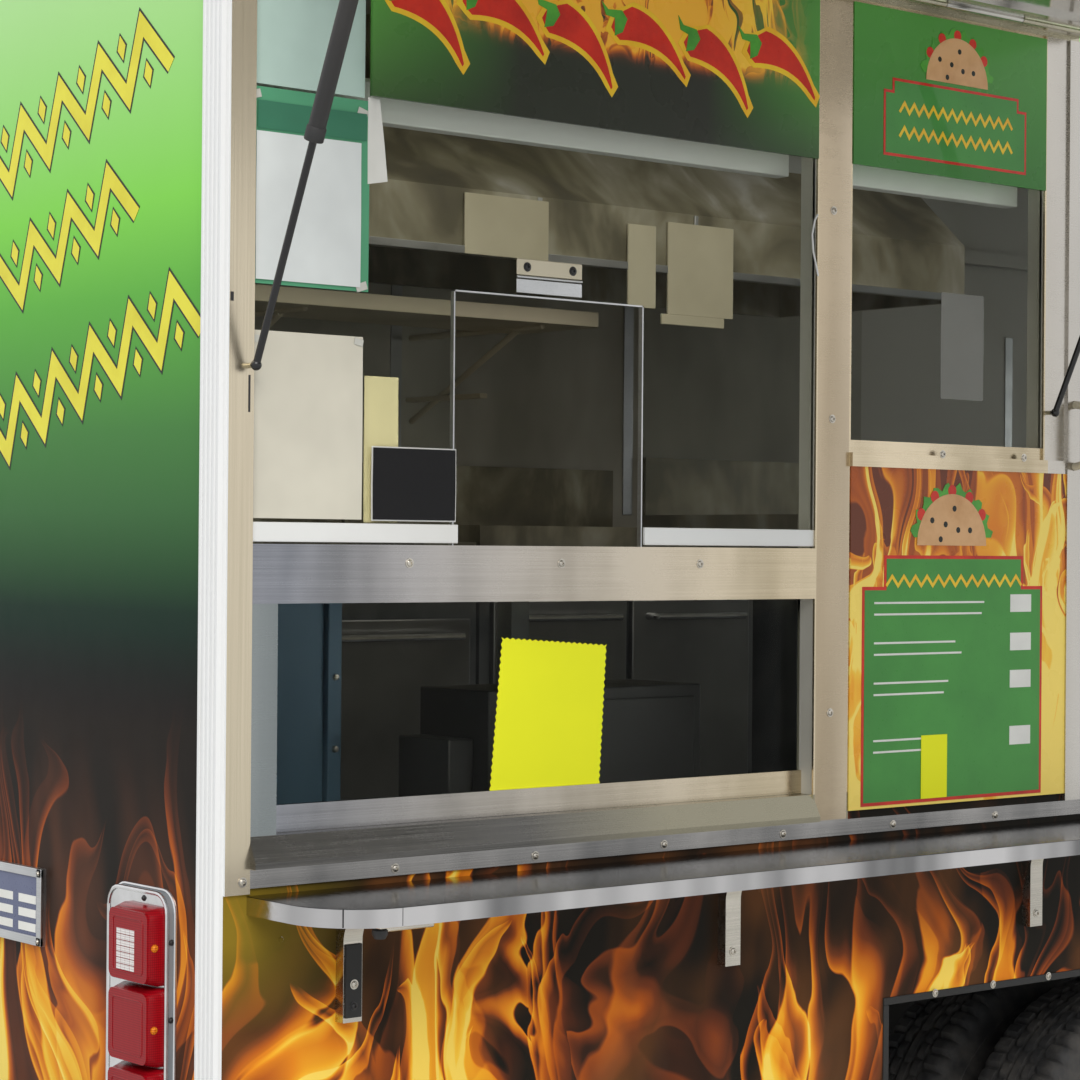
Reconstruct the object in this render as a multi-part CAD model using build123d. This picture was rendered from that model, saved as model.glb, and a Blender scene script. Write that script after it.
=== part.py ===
"""A step-van food truck with its service canopy open, in millimetres.

The working frame has X forward from the rear wall, Y to the left and Z up from the road. Each node is
written about the truck's own reference point, the middle of its overall box at road level."""

from build123d import *
import math
import os

# Body shell
BODY_WIDTH = 2360
HALF = BODY_WIDTH / 2
WALL = 40
INNER = HALF - WALL
SKIRT_BOTTOM = 480
WALL_TOP = 2900
ROOF_TOP = 2990
ROOF_SKIN = 45
ROOF_EDGE_R = 60
FLOOR_TOP = 800
FLOOR_THICK = 40
FLOOR_BOTTOM = FLOOR_TOP - FLOOR_THICK
# How far a cutting shape runs past the face it cuts
PAST = 1

# Wheels
REAR_AXLE_X = 2200
WHEELBASE = 3990
FRONT_AXLE_X = REAR_AXLE_X + WHEELBASE
TYRE_R = 387.5
TYRE_HALF = 107
SHOULDER_HALF = 92
TREAD_HALF = 72
BELLY_R = 300
SHOULDER_R = 368
BEAD_R = 204
BEAD_TALL = 18
RIM_WALL = 8
RIM_HALF = 84
FLANGE_R = 222
FLANGE_WIDE = 6
OUTER_TYRE_Y = HALF - 150
TWIN_PITCH = 265
INNER_TYRE_Y = OUTER_TYRE_Y - TWIN_PITCH
FRONT_TYRE_Y = HALF - 250
TWIN_FACE_Y = OUTER_TYRE_Y - TWIN_PITCH / 2
FRONT_FACE_OFFSET = 104
DISC_THICK = 10
HAND_HOLES = 6
HAND_HOLE_R = 24
HAND_HOLE_RING = 150

# Rear wheel arch, a plain cut with a straight top, and the wheel box over it
ARCH_REAR = REAR_AXLE_X - 820
ARCH_FRONT = REAR_AXLE_X + 580
ARCH_TOP = 833
WHEEL_BOX_TOP = 865
WHEEL_BOX_INNER = INNER_TYRE_Y - 165

# Cab and nose, placed from the front axle
FRONT_OVERHANG = 710
NOSE_FRONT = FRONT_AXLE_X + FRONT_OVERHANG
NOSE_SKIN = 30
NOSE_CORNER_R = 260
NOSE_FLOOR_Z = 705
FIREWALL_X = FRONT_AXLE_X + 110
FIREWALL_THICK = 30
WALL_FRONT = FRONT_AXLE_X - 470
COWL_X = FRONT_AXLE_X + 290
COWL_Z = 1500
CAB_TOP_X = COWL_X - 330
CAB_CORNER_R = 200
HOOD_LOW_X = NOSE_FRONT - 40
HOOD_LOW_Z = 1200
HOOD_HALF = HALF - 560
HOOD_THICK = 22
HOOD_GAP = 6
FRONT_ARCH_R = 490
WELL_FRONT = FRONT_AXLE_X + 510
WELL_TOP = 900
WELL_SKIN = 15

# Cab doors, which slide inside the walls
DOOR_WIDE = 750
DOOR_FRONT = WALL_FRONT - 40
DOOR_REAR = DOOR_FRONT - DOOR_WIDE
DOOR_BOTTOM = 520
DOOR_TOP = 2480
DOOR_THICK = 35
DOOR_GAP = 6
DOOR_LAP = 25
DOOR_RUN_OUT = 60
DOOR_TRAVEL = DOOR_WIDE - DOOR_RUN_OUT
DOOR_OUTER = INNER - DOOR_GAP
DOOR_INNER = DOOR_OUTER - DOOR_THICK
DOOR_WINDOW_EDGE = 110
DOOR_WINDOW_LOW = 1500
POCKET_REAR = DOOR_REAR - 780
STEP_INNER = INNER - 360

# Rear door
REAR_DOOR_RIGHT = -130
REAR_DOOR_LEFT = 670
REAR_DOOR_BOTTOM = FLOOR_TOP
REAR_DOOR_TOP = 2750
REAR_WALL_BOTTOM = 640

# Chassis frame
RAIL_Y = 430
RAIL_WIDE = 70
RAIL_BOTTOM = 560
RAIL_TALL = 140
RAIL_SKIN = 8
RAIL_TOP = RAIL_BOTTOM + RAIL_TALL
RAIL_REAR = 60
RAIL_FRONT = NOSE_FRONT - 40
RAIL_INNER = RAIL_Y - RAIL_WIDE / 2
RAIL_OUTER = RAIL_Y + RAIL_WIDE / 2
CROSSMEMBER_WIDE = 60

# Engine and gearbox, one plain block each
ENGINE_LONG = 750
ENGINE_FRONT = NOSE_FRONT - 160
ENGINE_REAR = ENGINE_FRONT - ENGINE_LONG
ENGINE_HALF = 290
ENGINE_TOP = 1060
GEARBOX_LONG = 670
GEARBOX_REAR = ENGINE_REAR - GEARBOX_LONG
GEARBOX_HALF = 150
GEARBOX_BOTTOM = 420
CROSSMEMBER_X = (
    RAIL_REAR + 70,
    ARCH_REAR - 180,
    ARCH_FRONT + 220,
    DOOR_REAR - 530,
    GEARBOX_REAR - 80,
    RAIL_FRONT - 50,
)

# Axles and steering
AXLE_TUBE_R = 60
SPINDLE_R = 38
HUB_GAP = 1
FRONT_SPINDLE_R = 28
KING_PIN_Y = FRONT_TYRE_Y - 115
KING_PIN_R = 15
KING_PIN_GAP = 0.4
BOSS_R = 32
YOKE_GAP = 6
YOKE_TALL = 36
YOKE_BACK = 20
BEAM_BOTTOM = 345
BEAM_TOP = 430
BEAM_HALF = 38
BEAM_WEB = 14
STEER_LIMIT = 32

# Service window, heights above the road and distances ahead of the rear wall
STILE = 43
BAY1_FRONT = 1189
BAY2_REAR = 1268
BAY2_FRONT = 1786
POST2_FRONT = 1847
SILL_BOTTOM = 1138
FACE_STRIP = 27
SILL_TOP = 1211
SILL_OUT = 18
SASH_TOP = 1251
LOWER_GLASS_TOP = 1545
BAND_TOP = 1631
BAY2_SILL = 1773
BAY2_GLASS = 1819
SIGN_BOTTOM = 2295
SIGN_TOP = 2575
RAIL_LINE = 2581
HATCH_REAR = 410
HATCH_FRONT = 797
HATCH_TOP = 2020
GLASS = 6
GLASS_RECESS = 6
TRIM = 4
LOWER_STILE = 47
LOWER_GLASS_RECESS = 34
COVER_LAP = 3
SIGN_THICK = 6
SIGN1_REAR = 246
MENU_BOTTOM = 1179
SIDE_PANEL_OUT = 9
SIDE_PANEL_FRONT = 2390

# Shelf
SHELF_REAR = 40
SHELF_FRONT = 2400
SHELF_OUT = 224
SHELF_TOP = 1127
SHELF_THICK = 27
SHELF_CORNER_R = 112
SHELF_BOTTOM = SHELF_TOP - SHELF_THICK

# Canopy, its hinge and its struts
CANOPY_REAR = 20
CANOPY_FRONT = 1870
CANOPY_LONG = 1400
CANOPY_THICK = 28
CANOPY_START = 18
CANOPY_RIM = 45
CANOPY_FIELDS = 3
CANOPY_FIELD_DEEP = 8
CANOPY_OPEN = 85
HINGE_OUT = 45
HINGE_Z = 2590
HINGE_R = 6
HINGE_LEAF = 6
KNUCKLES = 9
KNUCKLE_GAP = 1.5
# X of each strut, and the side of it on which its upper ear stands
STRUTS = ((33, 1), (1792, -1))
STRUT_PIN_ALONG = 281
STRUT_PIN_OFF = 21
STRUT_FOOT_OUT = 24
STRUT_FOOT_Z = 1885
BARREL_LONG = 392
BARREL_R = 12.5
ROD_R = 5.5
ROD_GAP = 0.5
ROD_LONG = 385
ROD_START = 30
EYE_R = 9
EYE_WIDE = 12
EAR_REACH = 14
EAR_THICK = 6
STRUT_PIN_R = 4
PIN_GAP = 0.4
SOCKET_R = 8
FOOT_GAP = 1.5

# Cook line, hood and fan along the left wall
COOK_DEPTH = 620
COOK_BACK_GAP = 6
# Rear end, front end and height of each appliance
COOK_ROWS = ((420, 1120, 1700), (1130, 1830, 1640), (1840, 2740, 1680), (2860, 3600, 1720))
HOOD_SPAN = (400, 3400)
VENT_SKIN = 20
VENT_LOW = 2300
VENT_HIGH = 2700
FAN_X = 2000
FAN_Y = INNER - 260

# Driver's place
DRIVER_Y = HALF - 645
WHEEL_POINT = (FIREWALL_X - 520, DRIVER_Y, 1480)
WHEEL_TILT = 42
COLUMN_LONG = 330
COLUMN_R = 28
WHEEL_HUB_TALL = 40
DASH_REAR = FIREWALL_X - 360
COVER_REAR = ENGINE_REAR - 90
COVER_HALF = ENGINE_HALF + 50
COVER_TOP = ENGINE_TOP + 60
COVER_SKIN = 20


def mid(span):
    """The middle of a (low, high) span."""
    return (span[0] + span[1]) / 2


def on_side(side, a, b):
    """The (low, high) span between a and b out from the middle on one side, -1 right or 1 left."""
    return (min(side * a, side * b), max(side * a, side * b))


def block(x, y, z):
    """A block between the ends of three (low, high) spans."""
    return Pos(mid(x), mid(y), mid(z)) * Box(x[1] - x[0], y[1] - y[0], z[1] - z[0])


def bar(along, radius, centre, span):
    """A round bar along X, Y or Z. The centre gives the other two coordinates in order."""
    turn = {"X": Rot(0, 90, 0), "Y": Rot(90, 0, 0), "Z": Rot(0, 0, 0)}[along]
    place = {
        "X": (mid(span), centre[0], centre[1]),
        "Y": (centre[0], mid(span), centre[1]),
        "Z": (centre[0], centre[1], mid(span)),
    }[along]
    return Pos(*place) * turn * Cylinder(radius, span[1] - span[0])


def side_plate(points, y):
    """A plate with an outline of (x, z) points, between two Y planes."""
    outline = Wire.make_polygon([(px, y[0], pz) for px, pz in points])
    return Part() + Solid.extrude(Face(outline), Vector(0, y[1] - y[0], 0))


def end_plate(points, x):
    """A plate with an outline of (y, z) points, between two X planes."""
    outline = Wire.make_polygon([(x[0], py, pz) for py, pz in points])
    return Part() + Solid.extrude(Face(outline), Vector(x[1] - x[0], 0, 0))


def fused(shapes):
    """One shape from touching pieces."""
    return Part() + list(shapes)


def both_sides(shape):
    """A shape and its mirror image across the truck's middle plane."""
    return fused([shape, mirror(shape, Plane.XZ)])


def left_of(shape):
    """The mirror image of a right-hand piece."""
    return mirror(shape, Plane.XZ)


def spun(points):
    """A ring from (radius, y) points turned about a wheel's axle, which lies along Y."""
    outline = Wire.make_polygon([(r, y, TYRE_R) for r, y in points])
    return revolve(Face(outline), Axis((0, 0, TYRE_R), (0, 1, 0)))


def chassis_frame():
    """Two channel rails, open inward, and their crossmembers."""
    rail = block((RAIL_REAR, RAIL_FRONT), (RAIL_INNER, RAIL_OUTER), (RAIL_BOTTOM, RAIL_TOP))
    inside_z = (RAIL_BOTTOM + RAIL_SKIN, RAIL_TOP - RAIL_SKIN)
    reach = RAIL_OUTER - RAIL_SKIN
    hollow = block((RAIL_REAR - PAST, RAIL_FRONT + PAST), (RAIL_INNER - PAST, reach), inside_z)
    half = CROSSMEMBER_WIDE / 2
    crossmembers = [block((x - half, x + half), (-reach, reach), inside_z) for x in CROSSMEMBER_X]
    return fused([both_sides(rail - hollow)] + crossmembers)


def engine_block():
    engine = block((ENGINE_REAR, ENGINE_FRONT), (-ENGINE_HALF, ENGINE_HALF), (RAIL_BOTTOM, ENGINE_TOP))
    gearbox = block((GEARBOX_REAR, ENGINE_REAR), (-GEARBOX_HALF, GEARBOX_HALF), (GEARBOX_BOTTOM, RAIL_TOP - 30))
    return fused([engine, gearbox])


def front_axle_beam():
    """An I beam with a round boss at each end, bored for the king-pins."""
    x = FRONT_AXLE_X
    beam = block((x - BEAM_HALF, x + BEAM_HALF), (-KING_PIN_Y, KING_PIN_Y), (BEAM_BOTTOM, BEAM_TOP))
    waist = (-KING_PIN_Y + 90, KING_PIN_Y - 90)
    web_z = (BEAM_BOTTOM + 18, BEAM_TOP - 18)
    beam = beam - block((x + BEAM_WEB, x + BEAM_HALF + PAST), waist, web_z)
    beam = beam - block((x - BEAM_HALF - PAST, x - BEAM_WEB), waist, web_z)
    for side in (-1, 1):
        end = on_side(side, KING_PIN_Y - 12, KING_PIN_Y + 60)
        beam = beam - block((x - BEAM_HALF - PAST, x + BEAM_HALF + PAST), end, (BEAM_BOTTOM - PAST, BEAM_TOP + PAST))
    bosses = [bar("Z", BOSS_R, (x, side * KING_PIN_Y), (BEAM_BOTTOM, BEAM_TOP)) for side in (-1, 1)]
    shaped = fused([beam] + bosses)
    for side in (-1, 1):
        bore_z = (BEAM_BOTTOM - PAST, BEAM_TOP + PAST)
        shaped = shaped - bar("Z", KING_PIN_R + KING_PIN_GAP, (x, side * KING_PIN_Y), bore_z)
    return shaped


def knuckle_right():
    """Yoke, king-pin and stub axle of the right front wheel."""
    x, y = FRONT_AXLE_X, -KING_PIN_Y
    low = (BEAM_BOTTOM - YOKE_GAP - YOKE_TALL, BEAM_BOTTOM - YOKE_GAP)
    high = (BEAM_TOP + YOKE_GAP, BEAM_TOP + YOKE_GAP + YOKE_TALL)
    back_y = (y - BOSS_R - YOKE_GAP - YOKE_BACK, y - BOSS_R - YOKE_GAP)
    lugs = []
    for span in (low, high):
        lugs.append(bar("Z", BOSS_R, (x, y), span))
        lugs.append(block((x - BOSS_R, x + BOSS_R), (back_y[0], y), span))
    back = block((x - 46, x + 46), back_y, (low[0], high[1]))
    pin = bar("Z", KING_PIN_R, (x, y), (low[0] - 6, high[1] + 6))
    stub = bar("Y", FRONT_SPINDLE_R, (x, TYRE_R), (-FRONT_TYRE_Y - 70, back_y[1] - 10))
    return fused(lugs + [back, pin, stub])


PINION_LONG = 300
SHAFT_R = 38
JOINT_R = 48
JOINT_LONG = 60
SHAFT_FRONT_Z = 520


def rear_axle_housing():
    """Live rear axle with its differential, and the drive shaft that runs to the gearbox."""
    x, z = REAR_AXLE_X, TYRE_R
    tube_end = INNER_TYRE_Y - 125
    spindle_end = OUTER_TYRE_Y - 30
    tube = bar("Y", AXLE_TUBE_R, (x, z), (-tube_end, tube_end))
    spindles = bar("Y", SPINDLE_R, (x, z), (-spindle_end, spindle_end))
    banjo = bar("Y", 165, (x, z), (-90, 90))
    cover = Pos(x, 0, z) * Sphere(150)
    pinion = bar("X", 62, (0, z), (x, x + PINION_LONG))
    rear = Vector(x + PINION_LONG, 0, z)
    front = Vector(GEARBOX_REAR, 0, SHAFT_FRONT_Z)
    along = (front - rear).normalized()
    start = Plane(origin=rear + along * JOINT_LONG / 2, z_dir=along)
    shaft = Solid.make_cylinder(SHAFT_R, (front - rear).length - JOINT_LONG, start)
    rear_joint = bar("X", JOINT_R, (0, z), (rear.X, rear.X + JOINT_LONG))
    front_joint = bar("X", JOINT_R, (0, SHAFT_FRONT_Z), (front.X - JOINT_LONG, front.X))
    return fused([tube, spindles, banjo, cover, pinion, shaft, rear_joint, front_joint])


SPRING_WIDE = 64
LEAF = 15
# Lift and share of the full length of each leaf
LEAF_ROWS = ((0, 0.5), (LEAF, 0.75), (2 * LEAF, 1.0))
# X of the axle, half length, height of the seat, height of the eyes
SPRING_ROWS = ((REAR_AXLE_X, 660, TYRE_R + AXLE_TUBE_R, 530), (FRONT_AXLE_X, 540, BEAM_TOP, 515))


def leaf_springs():
    packs = []
    y = (RAIL_Y - SPRING_WIDE / 2, RAIL_Y + SPRING_WIDE / 2)
    for axle_x, half_long, seat_z, eye_z in SPRING_ROWS:
        for lift, share in LEAF_ROWS:
            reach = half_long * share
            low = seat_z + lift
            rise = (eye_z - seat_z - 2 * LEAF) * share * share
            rear, front = (axle_x - reach, low + rise), (axle_x + reach, low + rise)
            lower = ThreePointArc((rear[0], 0, rear[1]), (axle_x, 0, low), (front[0], 0, front[1]))
            upper = Pos(0, 0, LEAF) * lower
            tips = [Line((px, 0, pz), (px, 0, pz + LEAF)) for px, pz in (rear, front)]
            leaf = extrude(make_face([lower, upper] + tips), amount=SPRING_WIDE, dir=(0, 1, 0))
            packs.append(Pos(0, y[0], 0) * leaf)
        for end in (-1, 1):
            hanger_x = axle_x + end * half_long
            packs.append(block((hanger_x - 22, hanger_x + 22), y, (eye_z - 10, RAIL_BOTTOM)))
    return both_sides(fused(packs))


TANK_REAR = ARCH_FRONT + 320
TANK_LONG = 1000
TANK_BOTTOM = 430
TANK_OUTER = HALF - 180
TANK_R = 50
STRAP_WIDE = 50


def fuel_tank():
    tank_front = TANK_REAR + TANK_LONG
    tank = block((TANK_REAR, tank_front), (RAIL_OUTER + 30, TANK_OUTER), (TANK_BOTTOM, RAIL_TOP - 10))
    tank = fillet(tank.edges().filter_by(Axis.X), TANK_R)
    straps = []
    for x in (TANK_REAR + 200, tank_front - 200):
        span = (x - STRAP_WIDE / 2, x + STRAP_WIDE / 2)
        straps.append(block(span, (RAIL_OUTER, RAIL_OUTER + 40), (RAIL_BOTTOM + 30, RAIL_TOP - 40)))
        straps.append(block(span, (RAIL_OUTER + 120, TANK_OUTER - 60), (RAIL_TOP - 12, RAIL_TOP)))
    return fused([tank] + straps)


EXHAUST_Y = -270
EXHAUST_Z = 520
EXHAUST_R = 28
EXHAUST_TAIL = 190
MUFFLER_R = 95
MUFFLER = (3300, 4000)


def exhaust_pipe():
    front = COVER_REAR
    pipe = bar("X", EXHAUST_R, (EXHAUST_Y, EXHAUST_Z), (EXHAUST_TAIL, front))
    muffler = bar("X", MUFFLER_R, (EXHAUST_Y, EXHAUST_Z - 62), MUFFLER)
    elbow = bar("Y", EXHAUST_R, (front - EXHAUST_R, EXHAUST_Z), (EXHAUST_Y, -GEARBOX_HALF))
    return fused([pipe, muffler, elbow])


RECEIVER = 64
RECEIVER_BORE = 51
RECEIVER_Z = 470
RECEIVER_X = (-150, 170)
RECEIVER_DEEP = 270
HITCH_PIN_X = -90
HITCH_PIN_R = 8


def hitch():
    """A receiver tube with its pin bore, hung from a beam between the rails."""
    half, bore = RECEIVER / 2, RECEIVER_BORE / 2
    tube = block(RECEIVER_X, (-half, half), (RECEIVER_Z - half, RECEIVER_Z + half))
    socket = (RECEIVER_X[0] - PAST, RECEIVER_X[0] + RECEIVER_DEEP)
    tube = tube - block(socket, (-bore, bore), (RECEIVER_Z - bore, RECEIVER_Z + bore))
    tube = tube - bar("Y", HITCH_PIN_R, (HITCH_PIN_X, RECEIVER_Z), (-half - PAST, half + PAST))
    beam = block((RECEIVER_X[1] - 70, RECEIVER_X[1]), (-RAIL_OUTER, RAIL_OUTER), (RECEIVER_Z + half, RAIL_BOTTOM))
    return fused([tube, beam])


BUMPER_LOW = 430
BUMPER_HIGH = 600
REAR_STEP_X = (-170, -25)
BUMPER_PLATE = 20
ARM_HALF = 30
FRONT_BUMPER_X = NOSE_FRONT + 5
FRONT_BUMPER_DEEP = 95
FRONT_BUMPER_Z = (460, 660)
FRONT_BUMPER_R = 70


def rear_bumper():
    half = HALF - 60
    step = block(REAR_STEP_X, (-half, half), (BUMPER_LOW + 80, BUMPER_HIGH))
    face = block((REAR_STEP_X[0], REAR_STEP_X[0] + BUMPER_PLATE), (-half, half), (BUMPER_LOW, BUMPER_HIGH))
    arm_x = (REAR_STEP_X[1] - 5, RAIL_REAR)
    arms = [
        block(arm_x, (side * RAIL_Y - ARM_HALF, side * RAIL_Y + ARM_HALF), (RAIL_BOTTOM + 10, BUMPER_HIGH + 30))
        for side in (-1, 1)
    ]
    recess = block((REAR_STEP_X[0] - PAST, REAR_STEP_X[0] + 70), (-90, 90), (BUMPER_LOW - PAST, BUMPER_HIGH - 30))
    return fused([step, face]) + arms - recess


def front_bumper():
    half = HALF - 20
    front = FRONT_BUMPER_X + FRONT_BUMPER_DEEP
    low, high = FRONT_BUMPER_Z
    beam = block((FRONT_BUMPER_X, front), (-half, half), (low, high))
    beam = fillet(beam.edges().filter_by(Axis.Z).sort_by(Axis.X)[-2:], FRONT_BUMPER_R)
    hollow_half = half - FRONT_BUMPER_R - BUMPER_PLATE
    hollow_z = (low + BUMPER_PLATE, high - BUMPER_PLATE)
    beam = beam - block((FRONT_BUMPER_X - 5, front - BUMPER_PLATE), (-hollow_half, hollow_half), hollow_z)
    arm_z = (RAIL_BOTTOM + 10, hollow_z[1])
    arms = [
        block((RAIL_FRONT, front - BUMPER_PLATE + 5), (side * RAIL_Y - ARM_HALF, side * RAIL_Y + ARM_HALF), arm_z)
        for side in (-1, 1)
    ]
    return fused([beam] + arms)


FLOOR_BEAM_X = (260, 900, ARCH_FRONT + 270, POCKET_REAR - 450, POCKET_REAR + 150)
FLOOR_BEAM_WIDE = 60
FLOOR_SEAM = 2
POCKET_EDGE = DOOR_INNER - 10
PLATE_SKIN = 20


def floor():
    """The kitchen's floor sheet on its cross beams, and the cab's sheet between the steps and round the engine."""
    floor_z = (FLOOR_BOTTOM, FLOOR_TOP)
    through = (FLOOR_BOTTOM - PAST, FLOOR_TOP + PAST)
    cab_rear = DOOR_REAR - PLATE_SKIN
    kitchen = block((WALL, cab_rear - FLOOR_SEAM), (-INNER, INNER), floor_z)
    notches = (
        (ARCH_REAR - PLATE_SKIN, ARCH_FRONT + PLATE_SKIN, WHEEL_BOX_INNER - PLATE_SKIN),
        (POCKET_REAR, cab_rear, POCKET_EDGE),
    )
    for side in (-1, 1):
        for rear, front, inner in notches:
            kitchen = kitchen - block((rear, front), on_side(side, inner, INNER + PAST), through)
    half = FLOOR_BEAM_WIDE / 2
    beams = [block((x - half, x + half), (-POCKET_EDGE, POCKET_EDGE), (RAIL_TOP, FLOOR_BOTTOM)) for x in FLOOR_BEAM_X]
    step_edge = STEP_INNER - PLATE_SKIN
    cab = block((cab_rear, WALL_FRONT), (-step_edge, step_edge), floor_z)
    toe_board = block((WALL_FRONT, FIREWALL_X), (-WHEEL_BOX_INNER, WHEEL_BOX_INNER), floor_z)
    tunnel_half = COVER_HALF - COVER_SKIN
    tunnel = block((COVER_REAR + COVER_SKIN, FIREWALL_X + PAST), (-tunnel_half, tunnel_half), through)
    return Compound(children=[fused([kitchen] + beams), fused([cab, toe_board]) - tunnel])


def wheel_boxes():
    """The box over each rear twin: a top, an inner side and two ends."""
    boxes = []
    skin = PLATE_SKIN
    rear, front = ARCH_REAR - skin, ARCH_FRONT + skin
    for side in (-1, 1):
        outer = block((rear, front), on_side(side, WHEEL_BOX_INNER - skin, INNER), (FLOOR_BOTTOM, WHEEL_BOX_TOP))
        inner_y = on_side(side, WHEEL_BOX_INNER, INNER + PAST)
        inner = block((ARCH_REAR, ARCH_FRONT), inner_y, (FLOOR_BOTTOM - PAST, WHEEL_BOX_TOP - skin))
        boxes.append(outer - inner)
    return boxes


def cab_steps():
    """The step well inside each cab door: a tread, a riser and two ends."""
    wells = []
    rear = DOOR_REAR - PLATE_SKIN
    for side in (-1, 1):
        riser_y = on_side(side, STEP_INNER - PLATE_SKIN, STEP_INNER)
        tread = block((rear, WALL_FRONT), on_side(side, STEP_INNER - PLATE_SKIN, INNER), (SKIRT_BOTTOM, DOOR_BOTTOM))
        pieces = [tread, block((rear, WALL_FRONT), riser_y, (DOOR_BOTTOM, FLOOR_TOP))]
        for span in ((rear, DOOR_REAR), (DOOR_FRONT, WALL_FRONT)):
            pieces.append(block(span, on_side(side, STEP_INNER, POCKET_EDGE), (DOOR_BOTTOM, FLOOR_TOP)))
        wells.append(fused(pieces))
    return wells


def floor_wells():
    return Compound(children=wheel_boxes() + cab_steps())


SIDE_OUTLINE = (
    (0, SKIRT_BOTTOM),
    (ARCH_REAR, SKIRT_BOTTOM),
    (ARCH_REAR, ARCH_TOP),
    (ARCH_FRONT, ARCH_TOP),
    (ARCH_FRONT, SKIRT_BOTTOM),
    (WALL_FRONT, SKIRT_BOTTOM),
    (WALL_FRONT, WALL_TOP),
    (0, WALL_TOP),
)
TRACK_LOW = DOOR_TOP + DOOR_LAP + 10
TRACK_HIGH = TRACK_LOW + 40
# X and Z spans of the two window openings
WINDOW_BAYS = (
    ((STILE, BAY1_FRONT), (SILL_BOTTOM, RAIL_LINE)),
    ((BAY2_REAR, BAY2_FRONT), (BAY2_SILL, RAIL_LINE)),
)


def side_wall(openings):
    """The right side wall with its cab door opening, door track and other openings."""
    through = (-HALF - PAST, -INNER + PAST)
    sheet = side_plate(SIDE_OUTLINE, (-HALF, -INNER))
    sheet = sheet - block((DOOR_REAR, DOOR_FRONT), through, (DOOR_BOTTOM, DOOR_TOP))
    for x, z in openings:
        sheet = sheet - block(x, through, z)
    track = block((POCKET_REAR, WALL_FRONT), (-INNER, -DOOR_INNER), (TRACK_LOW, TRACK_HIGH))
    return fused([sheet, track])


def rear_wall():
    wall = block((0, WALL), (-INNER, INNER), (REAR_WALL_BOTTOM, WALL_TOP))
    doorway_y = (REAR_DOOR_RIGHT, REAR_DOOR_LEFT)
    return wall - block((-PAST, WALL + PAST), doorway_y, (REAR_DOOR_BOTTOM, REAR_DOOR_TOP))


def front_rounded(back_x, front_x, side, r, z):
    """A plan outline with straight sides and two rounded front corners."""
    k = r * (1 - math.sqrt(0.5))
    return [
        Line((back_x, -side, z), (front_x - r, -side, z)),
        ThreePointArc((front_x - r, -side, z), (front_x - k, -side + k, z), (front_x, -side + r, z)),
        Line((front_x, -side + r, z), (front_x, side - r, z)),
        ThreePointArc((front_x, side - r, z), (front_x - k, side - k, z), (front_x - r, side, z)),
        Line((front_x - r, side, z), (back_x, side, z)),
        Line((back_x, side, z), (back_x, -side, z)),
    ]


def cab_plan(front_x, z, inset, corner_r):
    """The cab's plan at one height, drawn in by an inset."""
    return make_face(front_rounded(WALL_FRONT, front_x - inset, HALF - inset, corner_r - inset, z))


def cab_upper(inset):
    """The cab above the cowl, leaning back to the roof, drawn in by an inset."""
    low = cab_plan(COWL_X, COWL_Z, inset, CAB_CORNER_R)
    high = cab_plan(CAB_TOP_X, WALL_TOP, inset, CAB_CORNER_R)
    return loft([low, high], ruled=True)


SCREEN_LOW = COWL_Z + 75
SCREEN_HIGH = 2440
SCREEN_HALF = HALF - 220
SCREEN_POST = 25
QUARTER_REAR = WALL_FRONT + 70
QUARTER_EDGE = 40
CAB_GLASS_RECESS = 14


def screen_openings():
    """Volumes that the two windscreen panes and the two quarter windows pass through."""
    pane_x = (CAB_TOP_X - 30, COWL_X + 220)
    panes = [block(pane_x, on_side(side, SCREEN_POST, SCREEN_HALF), (SCREEN_LOW, SCREEN_HIGH)) for side in (-1, 1)]
    lean = (COWL_X - CAB_TOP_X) / (WALL_TOP - COWL_Z)
    low_z, high_z = SCREEN_LOW + QUARTER_EDGE, SCREEN_HIGH - QUARTER_EDGE
    low_front = COWL_X - CAB_CORNER_R - 110
    outline = (
        (QUARTER_REAR, low_z),
        (low_front, low_z),
        (low_front - lean * (high_z - low_z), high_z),
        (QUARTER_REAR, high_z),
    )
    quarters = [side_plate(outline, on_side(side, INNER - 30, HALF + 10)) for side in (-1, 1)]
    return panes + quarters


def windscreen_frame():
    shell = cab_upper(0) - cab_upper(WALL)
    shell = shell - block((WALL_FRONT - 50, WALL_FRONT + PAST), (-INNER, INNER), (COWL_Z - PAST, WALL_TOP + PAST))
    for opening in screen_openings():
        shell = shell - opening
    return shell


def cab_glass():
    pane = cab_upper(CAB_GLASS_RECESS) - cab_upper(CAB_GLASS_RECESS + GLASS)
    return fused([pane & opening for opening in screen_openings()])


def hood_point(s, depth):
    """A point s up the hood's slope from its low edge and depth under its outer surface."""
    up = Vector(COWL_X - HOOD_LOW_X, 0, COWL_Z - HOOD_LOW_Z).normalized()
    out = Vector(up.Z, 0, -up.X)
    point = Vector(HOOD_LOW_X, 0, HOOD_LOW_Z) + up * s - out * depth
    return (point.X, point.Z)


HOOD_LONG = math.hypot(COWL_X - HOOD_LOW_X, COWL_Z - HOOD_LOW_Z)
HOOD_END_GAP = 16
HOOD_BARREL_R = 5
HOOD_LEAF = 3
HOOD_HINGE_S = HOOD_LONG - HOOD_END_GAP + HOOD_GAP / 2
HOOD_HINGE = hood_point(HOOD_HINGE_S, -HOOD_BARREL_R - 1)
# Inner and outer end of the hinge barrels, those on the hood and those on the cowl
HOOD_BARRELS = (HOOD_HALF * 0.5, HOOD_HALF * 0.85)
COWL_BARRELS = (HOOD_HALF * 0.15, HOOD_HALF * 0.49)
GRILLE_HALF = HALF - 620
GRILLE_LOW = 740
GRILLE_HIGH = 1080
GRILLE_RIM = 22
SLAT_PITCH = 46
SLAT_HALF = 7
LAMP_Y = HALF - 440
LAMP_Z = 920
LAMP_R = 92


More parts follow.
